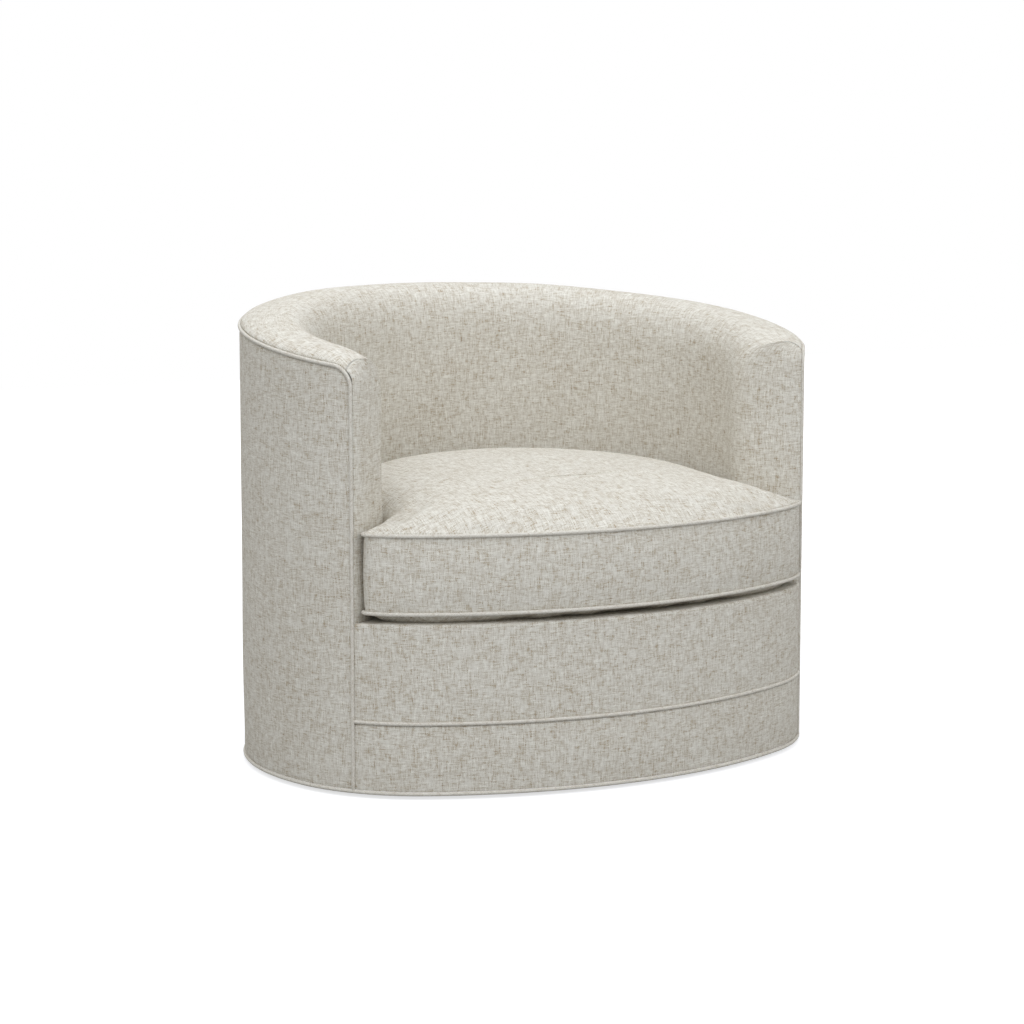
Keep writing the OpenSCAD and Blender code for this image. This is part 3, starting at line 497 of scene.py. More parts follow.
# ------------------------------------------------------------------ the outside cover
def outside_fabric():
    """The outline between the two arm fronts, risen from the skirt to under the top welt."""
    start, end = float(heading(CLEAR)), 360.0 - float(heading(CLEAR))
    coarse = np.linspace(start, end, 4001)
    track = run_length(rim(coarse, 0.0)[None], 1)[0]
    u = stops(track[-1], coarse=0.007)
    a = np.interp(u, track, coarse)
    s = past_seam(a)
    top = open_top(a) - under_turn(s, CLEAR)
    v = stops(0.66, coarse=0.010) / 0.66
    z = SKIRT_Z + v[:, None] * (top - SKIRT_Z)[None]
    edge = np.minimum(np.minimum(z - SKIRT_Z, (top[None] - z)),
                      np.minimum(u, track[-1] - u)[None])
    edge = np.maximum(edge, 0)
    bulge = 0.0012 * np.sin(math.pi * v)[:, None] ** 0.5
    bulge = bulge + 0.0006 * uneven(u[None], z, 5, 0.12, 0.55) * smooth(edge / 0.06)
    bulge = bulge + 0.00025 * uneven(u[None] * 2.0, z * 0.5, 6, 0.02, 0.05) * np.exp(
        -((edge - 0.012) / 0.010) ** 2)
    tuck = 0.0007 * np.exp(-(edge / 0.0035) ** 2)
    side = np.minimum(u, track[-1] - u)[None]
    tuck = tuck + 0.0022 * np.exp(-((top[None] - z) / 0.0030) ** 2)
    tuck = tuck + 0.0008 * np.exp(-(side / 0.0030) ** 2) * smooth((z - 0.40) / 0.2)
    P = np.concatenate([rim(np.broadcast_to(a, z.shape), tuck - bulge), z[..., None]], -1)
    uv = np.stack(np.broadcast_arrays(u[None], z), -1)
    ob = mesh_of("outside_fabric", [(P, uv)])
    thicken(ob, COVER)
    return ob


# ------------------------------------------------------------------ the inside cover and arms
def swell_at(d):
    """How far an arm front stands forward at an inset: a level-topped rise from the welt."""
    return CLEAR + (SWELL - CLEAR) * (1 - (1 - np.clip(d / SWELL_INSET, 0, 1)) ** 2)


def arc_to_outline(length, d):
    """A real length at inset d as a length along the outline."""
    return length * CORNER_R / (CORNER_R - d)


def welt_foot(s):
    """Where the inner cover meets the top welt: the welt's line moved out square to its path."""
    turn = np.arccos(np.clip(1 - np.clip(s, 0, TURN_R) / TURN_R, -1, 1))
    z = open_top(heading(s)) - TURN_R + TURN_R * np.sin(turn) + CLEAR * np.sin(turn)
    return s - CLEAR * np.cos(turn), z


def inside_fabric():
    """One cover: columns stand on the plan of the arm front, its nose and the inside wall. Each
    goes up, over a quarter of a superellipse to the crest or the dart, and from there down a
    quarter ellipse to the welt. The dart is the edge that both share."""
    d_face = EDGE_D + stops(NOSE_D - EDGE_D, coarse=0.0035)[:-7]
    turn = np.radians(np.concatenate([
        np.linspace(0, 45, 13),
        45 + np.array([0.7, 1.6, 2.8, 4.3, 6.2, 8.6, 11.5, 15, 19, 24, 29, 34.5, 40, 45])]))
    nose_end = float(heading(arc_to_outline(NOSE_R - SWELL, WALL)))
    wall = np.linspace(nose_end, 180.0, 112)[1:]
    d = np.concatenate([d_face, NOSE_D + NOSE_R * np.sin(turn), np.full(len(wall), WALL)])
    s = np.concatenate([
        -arc_to_outline(swell_at(d_face), d_face),
        -arc_to_outline(SWELL - NOSE_R + NOSE_R * np.cos(turn), NOSE_D + NOSE_R * np.sin(turn)),
        past_seam(wall)])
    base = rim(heading(s), d)
    q = run_length(base[None], 1)[0]
    n0 = len(d_face) + 12
    # the crest line and the foot at the welt, for the columns from the dart's inner end on
    s0 = s[n0]
    t = np.clip((s[n0:] - s0) / (DART_END - s0), 0, 1)
    s_c = np.where(t < 1, (DART_END + 0.0094) * (t + 0.12 * t * (1 - t)) - 0.0094, s[n0:])
    d_c = 0.052 + (CREST - 0.052) * smooth(t)
    z_c = open_top(heading(s_c)) + DART_RISE
    z_c = z_c + (RISE - DART_RISE) * np.sin(np.minimum(1, 1.4 * t) * math.pi / 2)
    t_w = np.clip((s[n0:] - s0) / (TUCK_END - s0), 0, 1)
    s_w, z_w = welt_foot(np.where(t_w < 1, 0.010 + (TUCK_END - 0.010) * t_w, s[n0:]))

    def rise(x, c):
        """Points of the rise of column c (from n0) at shares x from the crest to the welt."""
        inset = d_c[c] + (EDGE_D - d_c[c]) * x
        along = s_c[c] + (s_w[c] - s_c[c]) * x ** (0.84 + 1.36 * t[c])
        z = z_w[c] + (z_c[c] - z_w[c]) * np.sqrt(np.maximum(0, 1 - x ** (3.2 - 1.2 * smooth(t[c]))))
        z = z + 0.0052 * np.sin(math.pi * x) * (1 - t[c]) ** 2
        return inset, along, z

    x = 1 - q[:n0 + 1] / q[n0]
    dart = rise(x, np.zeros(n0 + 1, int))
    top_d = np.concatenate([dart[0][:-1], d_c])
    top_s = np.concatenate([dart[1][:-1], s_c])
    top_z = np.concatenate([dart[2][:-1], z_c])
    reach = 0.0249 + (0.106 - 0.0249) * smooth(q[:n0] / 0.075)
    reach = np.concatenate([reach, 0.106 + (DROP - 0.106) * smooth(t)])
    z_s = top_z - reach
    last = np.radians(48.2 + (90 - 48.2) * smooth(q / 0.045))
    power = 2 / 2.65
    v_face = stops(1.0, fine=0.004, coarse=0.022, growth=1.3)
    level = PANEL_LOW + v_face[:, None] * (z_s - PANEL_LOW)[None]
    low = np.concatenate([rim(heading(np.broadcast_to(s, level.shape)), d), level[..., None]], -1)
    share = 1 - (1 - np.linspace(0, 1, 34)[1:]) ** 1.5
    phi = share[:, None] * last[None]
    h = (1 - np.cos(phi) ** power) / (1 - np.cos(last) ** power)
    v = (np.sin(phi) / np.sin(last)) ** power
    arc_d, arc_s = d + (top_d - d) * h, s + (top_s - s) * h
    arc = np.concatenate([rim(heading(arc_s), arc_d), (z_s + reach * v)[..., None]], -1)
    P = np.concatenate([low, arc], 0)
    xr = x[::-1]
    c = np.arange(len(d) - n0)
    up = rise(*np.broadcast_arrays(xr[:, None], c[None]))
    R = np.concatenate([rim(heading(up[1]), up[0]), up[2][..., None]], -1)
    R[0] = P[-1, n0:]
    R[:, 0] = P[-1, :n0 + 1][::-1]
    # the map of the cloth: along the crest or base line, and up each column
    u = q.copy()
    crest_run = run_length(rim(heading(s_c), np.full(len(c), 0.087))[None], 1)[0]
    u[n0:] = q[n0] + crest_run
    v1 = run_length(P, 0)
    v2 = v1[-1:, n0:] + run_length(R, 0)
    U1 = np.broadcast_to(u, v1.shape)
    U2 = np.broadcast_to(u[n0:], v2.shape)
    # slight unevenness of the padding, the groove of the dart, and painted shade darkening the
    # colour along that groove
    n1, n2 = -normals(P), -normals(R)
    hem = smooth((v1 - 0.03) / 0.05) * smooth(U1 / 0.03)
    bump1 = PADDING * uneven(U1, v1, 11, 0.14, 0.6) * hem
    bump2 = PADDING * uneven(U2, v2, 11, 0.14, 0.6) * smooth((v2[-1:] - v2) / 0.03)
    fade = smooth((1 - (q / q[n0]))[None] / 0.08) * (0.45 + 0.25 * q[None] / q[n0])
    to_dart = v1[-1:] - v1
    on_dart = np.where(np.arange(len(d)) <= n0, fade[0], 0)
    away = np.linalg.norm(R - R[:, :1], axis=-1)
    fade2 = (smooth(xr / 0.08) * (0.7 - 0.25 * xr))[:, None]
    groove1 = DART_GROOVE * np.exp(-(to_dart / DART_WIDTH) ** 2) * on_dart
    groove2 = DART_GROOVE * np.exp(-(away / DART_WIDTH) ** 2) * fade2
    # painted shade along the dart's groove, kept with the points to darken the colour
    dart_shade1 = DART_SHADE_DARK * np.exp(-(to_dart / DART_SHADE_WIDTH) ** 2) * on_dart
    dart_shade2 = DART_SHADE_DARK * np.exp(-(away / DART_SHADE_WIDTH) ** 2) * fade2
    move1, move2 = bump1 - groove1, bump2 - groove2
    move2[:, 0] = move1[-1, :n0 + 1][::-1]
    n2[:, 0] = n1[-1, :n0 + 1][::-1]
    move2[0] = move1[-1, n0:]
    n2[0] = n1[-1, n0:]
    P = P + n1 * move1[..., None]
    R = R + n2 * move2[..., None]
    P[:, -1, 0] = 0
    R[:, -1, 0] = 0

    def whole(G, U, V, line):
        """The right half with its mirror image, joined at the middle of the back."""
        M = G[:, ::-1][:, 1:] * np.array([-1, 1, 1])
        top = U[:, -1:]
        uv = np.stack([np.concatenate([U, (2 * top - U)[:, ::-1][:, 1:]], 1),
                       np.concatenate([V, V[:, ::-1][:, 1:]], 1)], -1)
        return np.concatenate([G, M], 1), uv, np.concatenate([line, line[:, ::-1][:, 1:]], 1)

    ob = mesh_of("inside_fabric", [whole(P, U1, v1, dart_shade1), whole(R, U2, v2, dart_shade2)], flip=True)
    thicken(ob, COVER)
    return ob


# ------------------------------------------------------------------ the covers of the front
def front_edge(d):
    """Heading at which a front cover ends at an inset, beside the welt or the arm front."""
    d = np.asarray(d, float)
    forward = np.where(d < 0.003, CLEAR, swell_at(np.maximum(d, 0)) + 0.0006)
    return heading(-arc_to_outline(forward, np.maximum(d, 0)))


def front_sheet(name, inset, z, seed, edge, low_tuck, high_tuck):
    """A profile of insets and heights carried across the front between the two arm fronts. Its
    low and high edges are drawn in beside the welts."""
    side = front_edge(inset)
    coarse = np.linspace(-side[0], side[0], 2001)
    track = run_length(rim(coarse, 0.0)[None], 1)[0]
    half = track[-1] / 2
    u = stops(track[-1], coarse=0.007) - half
    a = side[:, None] * (np.interp(u + half, track, coarse) / side[0])[None]
    run = run_length(np.stack([inset, z], -1)[None], 1)[0]
    away = (half - np.abs(u))[None]
    border = np.minimum(away, edge[:, None])
    tuck = 0.0007 * np.exp(-(away / 0.0035) ** 2) + (
        low_tuck * np.exp(-(run / 0.0030) ** 2)
        + high_tuck * np.exp(-((run[-1] - run) / 0.0030) ** 2))[:, None]
    swell = 0.0010 * smooth(border / 0.05) * (
        1 + 0.4 * uneven(u[None], run[:, None], seed, 0.1, 0.4))
    P = np.concatenate([rim(a, inset[:, None] * np.ones_like(a)),
                        (z[:, None] * np.ones_like(a))[..., None]], -1)
    n = normals(P)
    P = P + n * (swell - tuck)[..., None]
    uv = np.stack(np.broadcast_arrays(u[None], z[0] + run[:, None]), -1)
    ob = mesh_of(name, [(P, uv)])
    thicken(ob, COVER)
    return ob


def front_fabric():
    """Up the front panel, round the front edge of the deck and a hand's width back over it."""
    low, r, back = MID_Z + CLEAR, 0.0040, 0.104
    up = low + stops(DECK_Z - r - low, coarse=0.008)
    t = np.radians(np.linspace(0, 90, 9))[1:]
    flat = np.linspace(r, back, 16)[1:]
    inset = np.concatenate([np.zeros(len(up)), r * (1 - np.cos(t)), flat])
    z = np.concatenate([up, DECK_Z - r + r * np.sin(t), np.full(len(flat), DECK_Z)])
    run = run_length(np.stack([inset, z], -1)[None], 1)[0]
    return front_sheet("front_fabric", inset, z, 21, run, 0.0004, 0.0)


def band_fabric():
    """The lower band of the front, from the foot up to the front welt."""
    z = SKIRT_Z + stops(MID_Z - CLEAR - SKIRT_Z, coarse=0.008)
    edge = np.minimum(z - z[0], z[-1] - z)
    return front_sheet("band_fabric", np.zeros(len(z)), z, 22, edge, 0.0006, 0.0026)


def deck_cloth():
    """The cloth of the seat deck behind the front strip: level rings that shrink to the middle
    of the seat, with a slight dip over the springs."""
    ring = seat_curve(0.1045, 0.0006, 0.0, 360)
    centre = np.array([0.0, -0.06])
    share = np.concatenate([[0.0], np.linspace(0.05, 1, 22)])
    xy = centre + share[:, None, None] * (ring - centre)[None]
    dip = 0.0012 * (1 - share ** 2)[:, None] + 0.0003 * uneven(xy[..., 0], xy[..., 1], 31, 0.1, 0.3)
    z = DECK_Z - 0.0004 - np.maximum(dip, 0) * (1 - share ** 6)[:, None]
    P = np.concatenate([xy, z[..., None]], -1)
    P = np.concatenate([P, P[:, :1]], 1)
    ob = mesh_of("deck_cloth", [(P, P[..., :2].copy())], flip=True)
    thicken(ob, 0.0018)
    return ob


# ------------------------------------------------------------------ welts
def top_welt():
    """Up one arm front, round the turn, along the whole top and down the other arm front."""
    turn = np.radians(np.linspace(0, 90, 16))
    up = np.linspace(SKIRT_Z, ARM_H - TURN_R, 110)[:-1]
    s_turn = TURN_R * (1 - np.cos(turn))
    a_turn = heading(s_turn)
    z_turn = open_top(a_turn) - TURN_R * (1 - np.sin(turn))
    a_wall = np.linspace(float(a_turn[-1]), 180.0, 210)[1:]
    a = np.concatenate([np.full(len(up), SEAM), a_turn, a_wall])
    z = np.concatenate([up, z_turn, open_top(a_wall)])
    a = np.concatenate([a, 360 - a[::-1][1:]])
    z = np.concatenate([z, z[::-1][1:]])
    flat = rim(a, 0.0)
    out = np.concatenate([flat - rim(a, 0.001), np.zeros((len(a), 1))], 1) * 1000
    path = np.concatenate([flat, z[:, None]], 1)
    return cord_piece("top_welt_cord", path, out, WELT_R, seed=41)


def level_welt(name, a, z, closed, seed):
    """A cord along the plan outline at one height."""
    flat = rim(a, 0.0)
    out = np.concatenate([flat - rim(a, 0.001), np.zeros((len(a), 1))], 1) * 1000
    path = np.concatenate([flat, np.full((len(a), 1), z)], 1)
    return cord_piece(name, path, out, WELT_R, closed=closed, seed=seed)


# ------------------------------------------------------------------ the cushion
def resampled(line, n):
    """A closed line as n points at even distances."""
    closed = np.concatenate([line, line[:1]])
    run = run_length(closed[None], 1)[0]
    at = np.linspace(0, run[-1], n, endpoint=False)
    return np.stack([np.interp(at, run, closed[:, k]) for k in range(2)], -1)


def seat_curve(front_inset, gap, cut_back, n, rounding=0.006):
    """The seat's plan: the outline in front, then round the arm fronts and along the inside,
    with its corners eased, as n points from the middle of the front."""
    side = front_inset + cut_back
    tip = float(heading(-arc_to_outline(swell_at(side) + gap, side))) - math.degrees(
        cut_back / CORNER_R)
    front = rim(np.linspace(0, tip, 90), front_inset)
    d = np.linspace(side, max(NOSE_D, side + 0.001), 30)
    face = rim(heading(-arc_to_outline(swell_at(d) + gap, d)), d)
    turn = np.radians(np.linspace(0, 90, 24))[1:]
    d_nose = NOSE_D + (NOSE_R + gap) * np.sin(turn)
    keep = d_nose > side
    nose = rim(heading(-arc_to_outline(SWELL - NOSE_R + (NOSE_R + gap) * np.cos(turn), d_nose)),
               d_nose)[keep]
    first = float(heading(arc_to_outline(NOSE_R - SWELL, WALL)))
    wall = rim(np.linspace(first, 180.0, 120)[1:], WALL + gap)
    half = np.concatenate([front, face, nose, wall])
    line = resampled(np.concatenate([half, half[::-1][1:-1] * np.array([-1, 1])]), 4 * n)
    spacing = np.linalg.norm(line[1] - line[0])
    reach = int(math.ceil(3 * rounding / spacing))
    weight = np.exp(-0.5 * (np.arange(-reach, reach + 1) * spacing / rounding) ** 2)
    weight /= weight.sum()
    eased = sum(w * np.roll(line, k - reach, 0) for k, w in enumerate(weight))
    return resampled(eased, n)


def plan_out(line):
    """Outward directions of a closed plan line that runs counterclockwise."""
    along = np.roll(line, -1, 0) - np.roll(line, 1, 0)
    along /= np.linalg.norm(along, axis=1, keepdims=True)
    return np.stack([along[:, 1], -along[:, 0]], -1)


CUSHION_MIDDLE = np.array([0.0, SEAM_Y + 0.05])
SEAT_LINE = (-0.002, 0.006, 0.009)
RING = seat_curve(*SEAT_LINE, 480, rounding=0.009)


def crown_heights(edge, xy, k=12.0, h=0.007, rounds=9000):
    """Height of the crown at points xy: a skin stretched over the plan and held at its edge,
    blown up against a springy filling. On a raster, div grad p = k k p - 1, p = 0 at the edge."""
    x, y = np.arange(-0.434, 0.4341, h), np.arange(-0.40, 0.32, h)
    X, Y = np.meshgrid(x, y)
    inside = np.zeros(X.shape, bool)
    for (ax, ay), (bx, by) in zip(edge, np.roll(edge, -1, 0)):
        if ay != by:
            across = (ay > Y) != (by > Y)
            inside ^= across & (X < (bx - ax) * (Y - ay) / (by - ay) + ax)
    p = np.zeros(X.shape)
    keep = inside[1:-1, 1:-1] / (4 + (k * h) ** 2)
    for _ in range(rounds):
        p[1:-1, 1:-1] = keep * (p[:-2, 1:-1] + p[2:, 1:-1] + p[1:-1, :-2] + p[1:-1, 2:] + h * h)
    z = CROWN * (p / p.max()) ** 0.597 * (1 + 0.21 * np.clip((Y + 0.1) / 0.3, -1.2, 1.2))
    fx, fy = (xy[..., 0] - x[0]) / h, (xy[..., 1] - y[0]) / h
    i, j = np.floor(fy).astype(int), np.floor(fx).astype(int)
    u, v = fx - j, fy - i
    return ((z[i, j] * (1 - u) + z[i, j + 1] * u) * (1 - v)
            + (z[i + 1, j] * (1 - u) + z[i + 1, j + 1] * u) * v)


def cushion_fabric():
    """The T cushion: its plan line shrunk towards the middle and risen as a crown, the boxing
    between the seams with a slight belly, and a low belly underneath."""
    ring = resampled(RING, 384)
    out = plan_out(ring)
    edge = ring - 0.0024 * out
    run = run_length(np.concatenate([ring, ring[:1]])[None], 1)[0]

    def closed(P):
        return np.concatenate([P, P[:, :1]], 1)

    away = np.linalg.norm(edge - CUSHION_MIDDLE, axis=1)
    share = np.concatenate([[1.0, 0.9965, 0.991, 0.983, 0.972], np.linspace(0.957, 0.05, 36),
                            [0.02, 0.0]])
    xy = CUSHION_MIDDLE + share[:, None, None] * (edge - CUSHION_MIDDLE)[None]
    high = crown_heights(edge, xy)
    # near the seam the crown rises steeply: a power of the distance takes over from the raster
    first = 1 - 0.024 / away
    for _ in range(3):
        first = (np.roll(first, 1) + first + np.roll(first, -1)) / 3
    start = crown_heights(edge, CUSHION_MIDDLE + first[:, None] * (edge - CUSHION_MIDDLE))
    for _ in range(8):
        start = (np.roll(start, 1) + start + np.roll(start, -1)) / 3
    s = share[:, None]
    near = start * (np.maximum(0, 1 - s) / (1 - first)) ** 0.6
    high = np.where(s > first, near, high)
    for _ in range(2):
        high[6:-2] = (high[5:-3] + high[6:-2] + high[7:-1]) / 3
    high[-1] = high[-2].mean()
    high = high - 0.0030 * smooth((1 - s) * away / 0.05)
    top = closed(np.concatenate([xy, (HIGH_WELT + high)[..., None]], -1))
    deep = BELLY * (1 - (1 - np.clip((1 - s) * away / 0.034, 0, 1)) ** 1.6)
    low = closed(np.concatenate([xy, (LOW_WELT - deep)[..., None]], -1))[::-1]
    rows = stops(HIGH_WELT - LOW_WELT, fine=0.0018, coarse=0.0085)
    w = rows / rows[-1]
    hang = 0.0020 * (4 * w * (1 - w))[:, None] ** 0.45
    around = edge[None] + hang[..., None] * out[None]
    z = np.broadcast_to((LOW_WELT + rows)[:, None], around.shape[:2])
    box = closed(np.concatenate([around, z[..., None]], -1))
    box_map = np.stack(np.broadcast_arrays(run[None], (LOW_WELT + rows)[:, None]), -1)
    ob = mesh_of("cushion_fabric", [(low, low[..., :2].copy()), (box, box_map),
                                    (top, top[..., :2].copy())])
    swell_up(ob, 0.0035)
    return ob


def swell_up(ob, cap):
    """Cloth simulation: the filling presses the cover out between its seams, which are held,
    and no point moves further than the cap. The result is kept in the mesh."""
    me = ob.data
    before = np.empty(len(me.vertices) * 3, np.float32)
    me.vertices.foreach_get("co", before)
    before = before.reshape(-1, 3)
    seams = np.minimum(np.abs(before[:, 2] - LOW_WELT), np.abs(before[:, 2] - HIGH_WELT)) < 1e-5
    held = ob.vertex_groups.new(name="held")
    held.add([int(k) for k in np.nonzero(seams)[0]], 1.0, "REPLACE")
    cloth = ob.modifiers.new("cloth", "CLOTH")
    cs = cloth.settings
    cs.quality = 5
    cs.mass = 0.3
    cs.tension_stiffness = cs.compression_stiffness = 20.0
    cs.shear_stiffness = 4.0
    cs.bending_stiffness = 0.5
    cs.shrink_min = -0.008
    cs.vertex_group_mass = "held"
    cs.use_pressure = True
    cs.uniform_pressure_force = 0.8
    cs.effector_weights.gravity = 0.0
    cloth.collision_settings.use_collision = False
    cloth.point_cache.frame_start, cloth.point_cache.frame_end = 1, 16
    for f in range(1, 17):
        scene.frame_set(f)
    result = ob.evaluated_get(bpy.context.evaluated_depsgraph_get()).data
    after = np.empty(len(me.vertices) * 3, np.float32)
    result.vertices.foreach_get("co", after)
    move = after.reshape(-1, 3) - before
    size = np.linalg.norm(move, axis=1, keepdims=True)
    move *= np.minimum(1.0, cap / np.maximum(size, 1e-9))
    me.vertices.foreach_set("co", (before + move).astype(np.float32).ravel())
    ob.modifiers.remove(cloth)
    ob.vertex_groups.remove(held)
    scene.frame_set(1)
    me.update()


def cushion_welt(name, z, seed):
    """A cord round the cushion's plan at one height."""
    out = plan_out(RING)
    line = RING + 0.0003 * out
    path = np.concatenate([line, np.full((len(line), 1), z)], 1)
    return cord_piece(name, path, np.concatenate([out, np.zeros((len(out), 1))], 1), WELT_R,
                      closed=True, seed=seed)


def zip_place():
    """The zip's arc about the upright axis of the slider: the radius of the tape's inside, its
    thickness, half its turn, and its lowest and highest line."""
    low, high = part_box("zip_tape")
    outer = high[1] - ZIP_Y
    half = math.asin(min(1.0, high[0] / outer))
    return outer - 0.001, 0.001, half, low[2], high[2]


def round_zip(r, turn, z):
    """Points at a radius, a turn from the middle of the back, and a height."""
    r, turn, z = np.broadcast_arrays(r, turn, z)
    return np.stack([r * np.sin(turn), ZIP_Y + r * np.cos(turn), z], -1)


def zip_cloth():
    """Two tapes whose folded edges meet over the teeth: a closed profile, thin at its outer
    edges and raised beside the opening, carried along the arc."""
    r, t, half, low, high = zip_place()
    middle, w = (low + high) / 2, (high - low) / 2
    across = w * np.array([-1, -1, -0.9, -0.5, -0.2, -0.16, -0.12, 0.12, 0.16, 0.2, 0.5, 0.9, 1, 1,
                           0, -1])
    out = t * np.array([0.0, 0.5, 0.62, 0.62, 0.72, 0.6, 0.1, 0.1, 0.6, 0.72, 0.62, 0.62, 0.5, 0.0,
                        0.0, 0.0])
    turn = np.linspace(half, -half, 181)
    P = round_zip((r + out)[:, None], turn[None], (middle + across)[:, None])
    run = run_length(np.stack([out, across], -1)[None], 1)[0]
    uv = np.stack(np.broadcast_arrays(turn[None] * r, run[:, None]), -1)
    grids = [(P, uv)]
    for end in (P[:, 0], P[:, -1]):
        hub = np.broadcast_to(end.mean(0), end.shape)
        cap = np.stack([end, hub], 1)
        grids.append((cap, np.stack(np.broadcast_arrays(np.zeros((1, 2)), run[:, None]), -1)))
    return mesh_of("zip_cloth", grids)


def zip_teeth():
    """The closed chain: every tooth is an ellipsoid of latitude and longitude, flattened to the
    tape, and the teeth of the two sides alternate."""
    r, t, half, low, high = zip_place()
    lat = np.linspace(-math.pi / 2, math.pi / 2, 7)[:, None]
    lon = np.linspace(0, 2 * math.pi, 11)[None]
    along = 0.0008 * np.cos(lat) * np.cos(lon)
    up = 0.0021 * np.cos(lat) * np.sin(lon)
    out = 0.00036 * np.sin(lat) + 0 * lon
    grids = []
    turns = np.arange(-half + 0.012, half - 0.012, 0.0017 / r)
    for k, at in enumerate(turns):
        shift = 0.0007 if k % 2 else -0.0007
        P = round_zip(r + 0.56 * t + out, at - along / r, (low + high) / 2 + shift + up)
        grids.append((P, np.stack([along, up], -1)))
    return mesh_of("zip_teeth", grids, flip=True)


def zip_pull():
    """The slider: a rounded body on the tape and a flat drop-shaped pull that hangs from it.
    Both are superellipsoids of latitude and longitude, the pull narrows towards its top."""
    low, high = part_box("zip_slider")
    low, high = np.array(low), np.array(high)
    middle = (low + high) / 2
    turn = math.atan2(middle[0], middle[1] - ZIP_Y)
    r0 = zip_place()[0] + zip_place()[1] + 0.0003
    lat = np.linspace(-math.pi / 2, math.pi / 2, 15)[:, None]
    lon = np.linspace(0, 2 * math.pi, 33)[None]

    def power(x, e):
        return np.sign(x) * np.abs(x) ** e

    grids = []
    for half_w, half_h, half_t, z, e in ((0.0045, 0.0055, 0.0010, middle[2], 0.6),
                                         (0.0030, 0.0110, 0.0004, middle[2] - 0.012, 0.75)):
        up = power(np.cos(lat), e) * power(np.sin(lon), e)
        side = power(np.cos(lat), e) * power(np.cos(lon), e)
        narrow = 1 - 0.25 * (up + 1) / 2
        out = r0 + half_t * (1 + power(np.sin(lat), e)) + (0.0019 if half_t < 0.001 else 0)
        P = round_zip(out, turn - half_w * side * narrow / r0, z + half_h * up)
        grids.append((P, np.stack([side, up], -1) * 0.01))
    return mesh_of("zip_pull", grids, flip=True)


def dust_sheet():
    """The cloth under the bottom ring: level rings from the round hole out to the plan's line,
    sagging a little between the hole's edge and the ring."""
    low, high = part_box("dust_cover")
    a = np.linspace(0, 360, 241)
    outer = rim(a, HALF_DEPTH - high[1])
    way = np.arctan2(outer[:, 0], -outer[:, 1])
    inner = 0.29 * np.stack([np.sin(way), -np.cos(way)], -1)
    share = np.linspace(0, 1, 15)
    xy = inner[None] + share[:, None, None] * (outer - inner)[None]
    sag = 0.0004 * np.sin(math.pi * share)[:, None] * (1 + uneven(xy[..., 0], xy[..., 1], 71,
                                                                 0.08, 0.3))
    z = high[2] - 0.0003 - np.maximum(sag, 0)
    P = np.concatenate([xy, z[..., None]], -1)
    P[:, -1] = P[:, 0]
    ob = mesh_of("dust_sheet", [(P, P[..., :2].copy())], flip=True)
    thicken(ob, 0.0003)
    return ob


# ------------------------------------------------------------------ build the object
def cut_sheet(ob, *rests):
    """Reads the cloth map and the face areas of a cover, and gives the cover back unchanged."""
    me = ob.data
    uv = np.empty(len(me.loops) * 2, np.float32)
    me.uv_layers["cloth"].data.foreach_get("uv", uv)
    uv = uv.reshape(-1, 2)
    area = np.empty(len(me.polygons), np.float32)
    me.polygons.foreach_get("area", area)
    return ob


cut_sheet(piece(outside_fabric(), "chair", "linen_fabric", "outside_cover"), "outside_board")
cut_sheet(piece(inside_fabric(), "chair", "linen_fabric", "inside_cover", "left_arm_facing",
                "right_arm_facing", "left_arm_pad", "right_arm_pad"), "back_pad", "roll_pad")
cut_sheet(piece(front_fabric(), "chair", "linen_fabric", "front_panel"), "front_board")
cut_sheet(piece(band_fabric(), "chair", "linen_fabric", "front_band"), "front_board")
cut_sheet(piece(deck_cloth(), "chair", "deck_fabric", "deck_cover"), "deck_pad")
cut_sheet(piece(dust_sheet(), "chair", "dust_cloth", "dust_cover"), "bottom_ring")
piece(top_welt(), "chair", "welt_fabric", "top_welt")
front_span = float(heading(-CLEAR))
piece(level_welt("front_welt_cord", np.linspace(-front_span, front_span, 260), MID_Z, False, 42),
      "chair", "welt_fabric", "front_welt")
piece(level_welt("base_welt_cord", np.linspace(0, 360, 720, endpoint=False), BASE_Z, True, 43),
      "chair", "welt_fabric", "base_welt")
piece(cushion_fabric(), "cushion", "linen_fabric", "cushion_cover", "cushion_core")
piece(cushion_welt("cushion_upper_cord", HIGH_WELT, 44), "cushion", "welt_fabric",
      "cushion_upper_welt")
piece(cushion_welt("cushion_lower_cord", LOW_WELT, 45), "cushion", "welt_fabric",
      "cushion_lower_welt")
piece(zip_cloth(), "cushion", "zip_fabric", "zip_tape")
piece(zip_teeth(), "cushion", "zip_metal")
piece(zip_pull(), "zip", "zip_metal", "zip_slider")


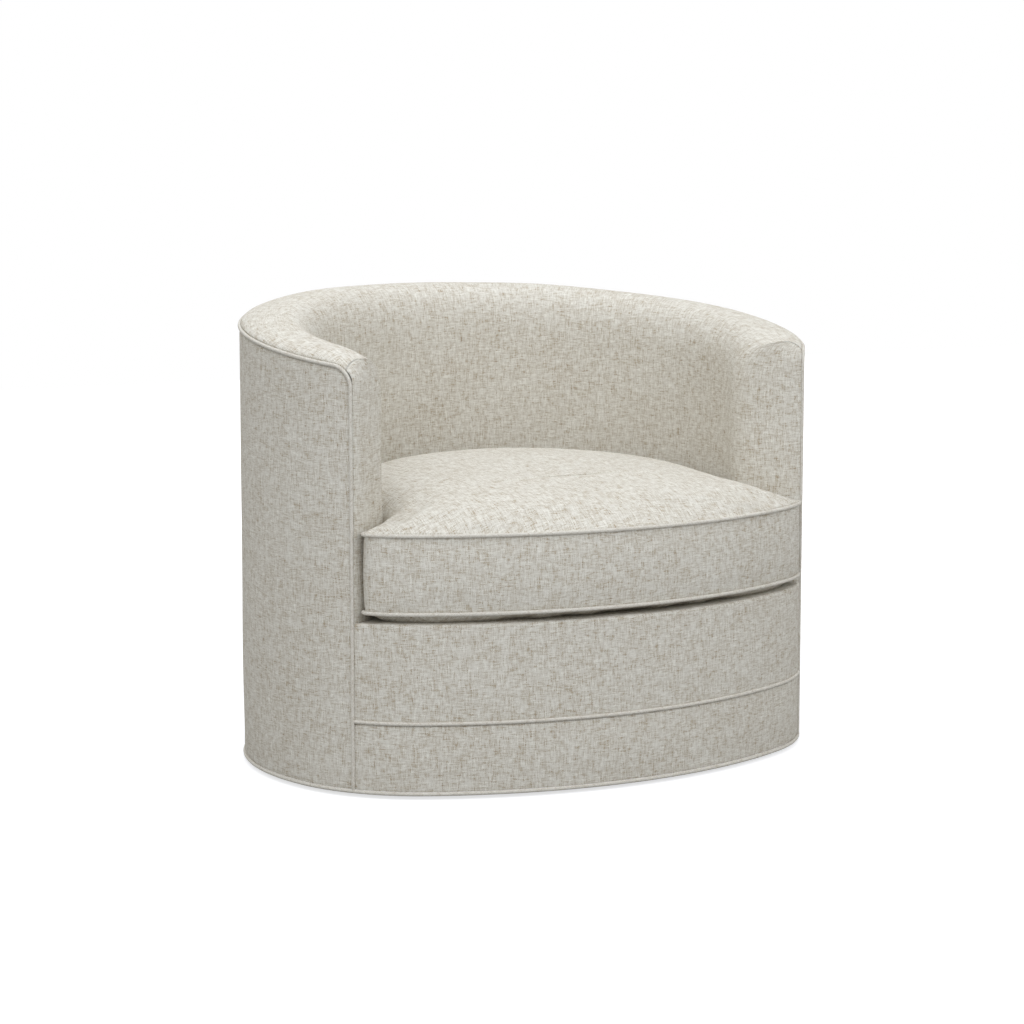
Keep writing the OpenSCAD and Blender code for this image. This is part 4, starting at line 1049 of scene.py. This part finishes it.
# ------------------------------------------------------------------ floor, light and camera
def floor():
    """The pale floor: it keeps its shadow near the chair and fades to white for the camera."""
    bpy.ops.mesh.primitive_plane_add(size=14.0, location=(0, 0, 0))
    ob = bpy.context.object
    ob.name = "floor"
    mat = bpy.data.materials.new("floor")
    mat.use_nodes = True
    net = Net(mat.node_tree)
    shader = mat.node_tree.nodes["Principled BSDF"]
    shader.inputs["Roughness"].default_value = 0.9
    shader.inputs["Specular IOR Level"].default_value = 0.0
    seen = net.node("ShaderNodeLightPath").outputs["Is Camera Ray"]
    away = net.node("ShaderNodeVectorMath", {0: from_object(net)},
                    operation="LENGTH").outputs["Value"]
    far = net.node("ShaderNodeMapRange", {0: away, 1: 0.75, 2: 1.7, 3: 0.70, 4: 1.1},
                   interpolation_type="SMOOTHSTEP").outputs[0]
    net.join(net.math("MULTIPLY", seen, far), shader.inputs["Emission Strength"])
    net.join(net.ramp(net.noise(from_object(net), 3.0), [(0.3, (0.43, 0.43, 0.43)),
                      (0.7, (0.45, 0.45, 0.45))]), shader.inputs["Base Color"])
    shader.inputs["Emission Color"].default_value = (1, 1, 1, 1)
    ob.data.materials.append(mat)


def world(ambient):
    """White to the camera and in mirrors, a soft even light for the rest."""
    w = bpy.data.worlds.new("studio")
    scene.world = w
    w.use_nodes = True
    net = Net(w.node_tree)
    back = w.node_tree.nodes["Background"]
    back.inputs["Color"].default_value = (1, 1, 1, 1)
    path = net.node("ShaderNodeLightPath").outputs
    seen = net.math("MAXIMUM", net.math("MAXIMUM", path["Is Camera Ray"], path["Is Glossy Ray"]),
                    path["Is Transmission Ray"])
    net.join(net.math("ADD", net.math("MULTIPLY", seen, 1.0 - ambient), ambient),
             back.inputs["Strength"])


def lamp(name, place, size, power):
    """A soft lamp: a rectangle that faces the middle of the chair."""
    data = bpy.data.lights.new(name, "AREA")
    data.shape = "RECTANGLE"
    data.size, data.size_y = size
    data.energy = power
    data.color = LAMP_COLOUR
    ob = bpy.data.objects.new(name, data)
    scene.collection.objects.link(ob)
    ob.location = place
    ob.rotation_mode = "QUATERNION"
    ob.rotation_quaternion = (Vector((0, 0, 0.4)) - Vector(place)).to_track_quat("-Z", "Y")


LAMP_COLOUR = (0.93, 0.985, 1.095)
floor()
world(0.555)
lamp("top", (-0.2, 0.1, 3.2), (3.4, 3.4), 64.0)
lamp("left", (-3.3, -2.3, 2.4), (2.6, 2.6), 46.0)
lamp("front", (0.6, -3.9, 2.6), (2.8, 2.0), 46.0)
lamp("right", (2.8, -2.7, 2.3), (2.4, 2.4), 16.0)

az, el, distance = math.radians(-29.171), math.radians(7.565), 4.4322
target = Vector((-0.0498, -0.0883, 0.4036))
toward = Vector((math.sin(az) * math.cos(el), -math.cos(az) * math.cos(el), math.sin(el)))
lens = bpy.data.cameras.new("camera")
lens.lens, lens.sensor_width = 94.556, 36.0
camera = bpy.data.objects.new("camera", lens)
scene.collection.objects.link(camera)
camera.location = target + toward * distance
camera.rotation_mode = "QUATERNION"
camera.rotation_quaternion = (-toward).to_track_quat("-Z", "Y")
scene.camera = camera
scene.view_settings.view_transform = "Standard"
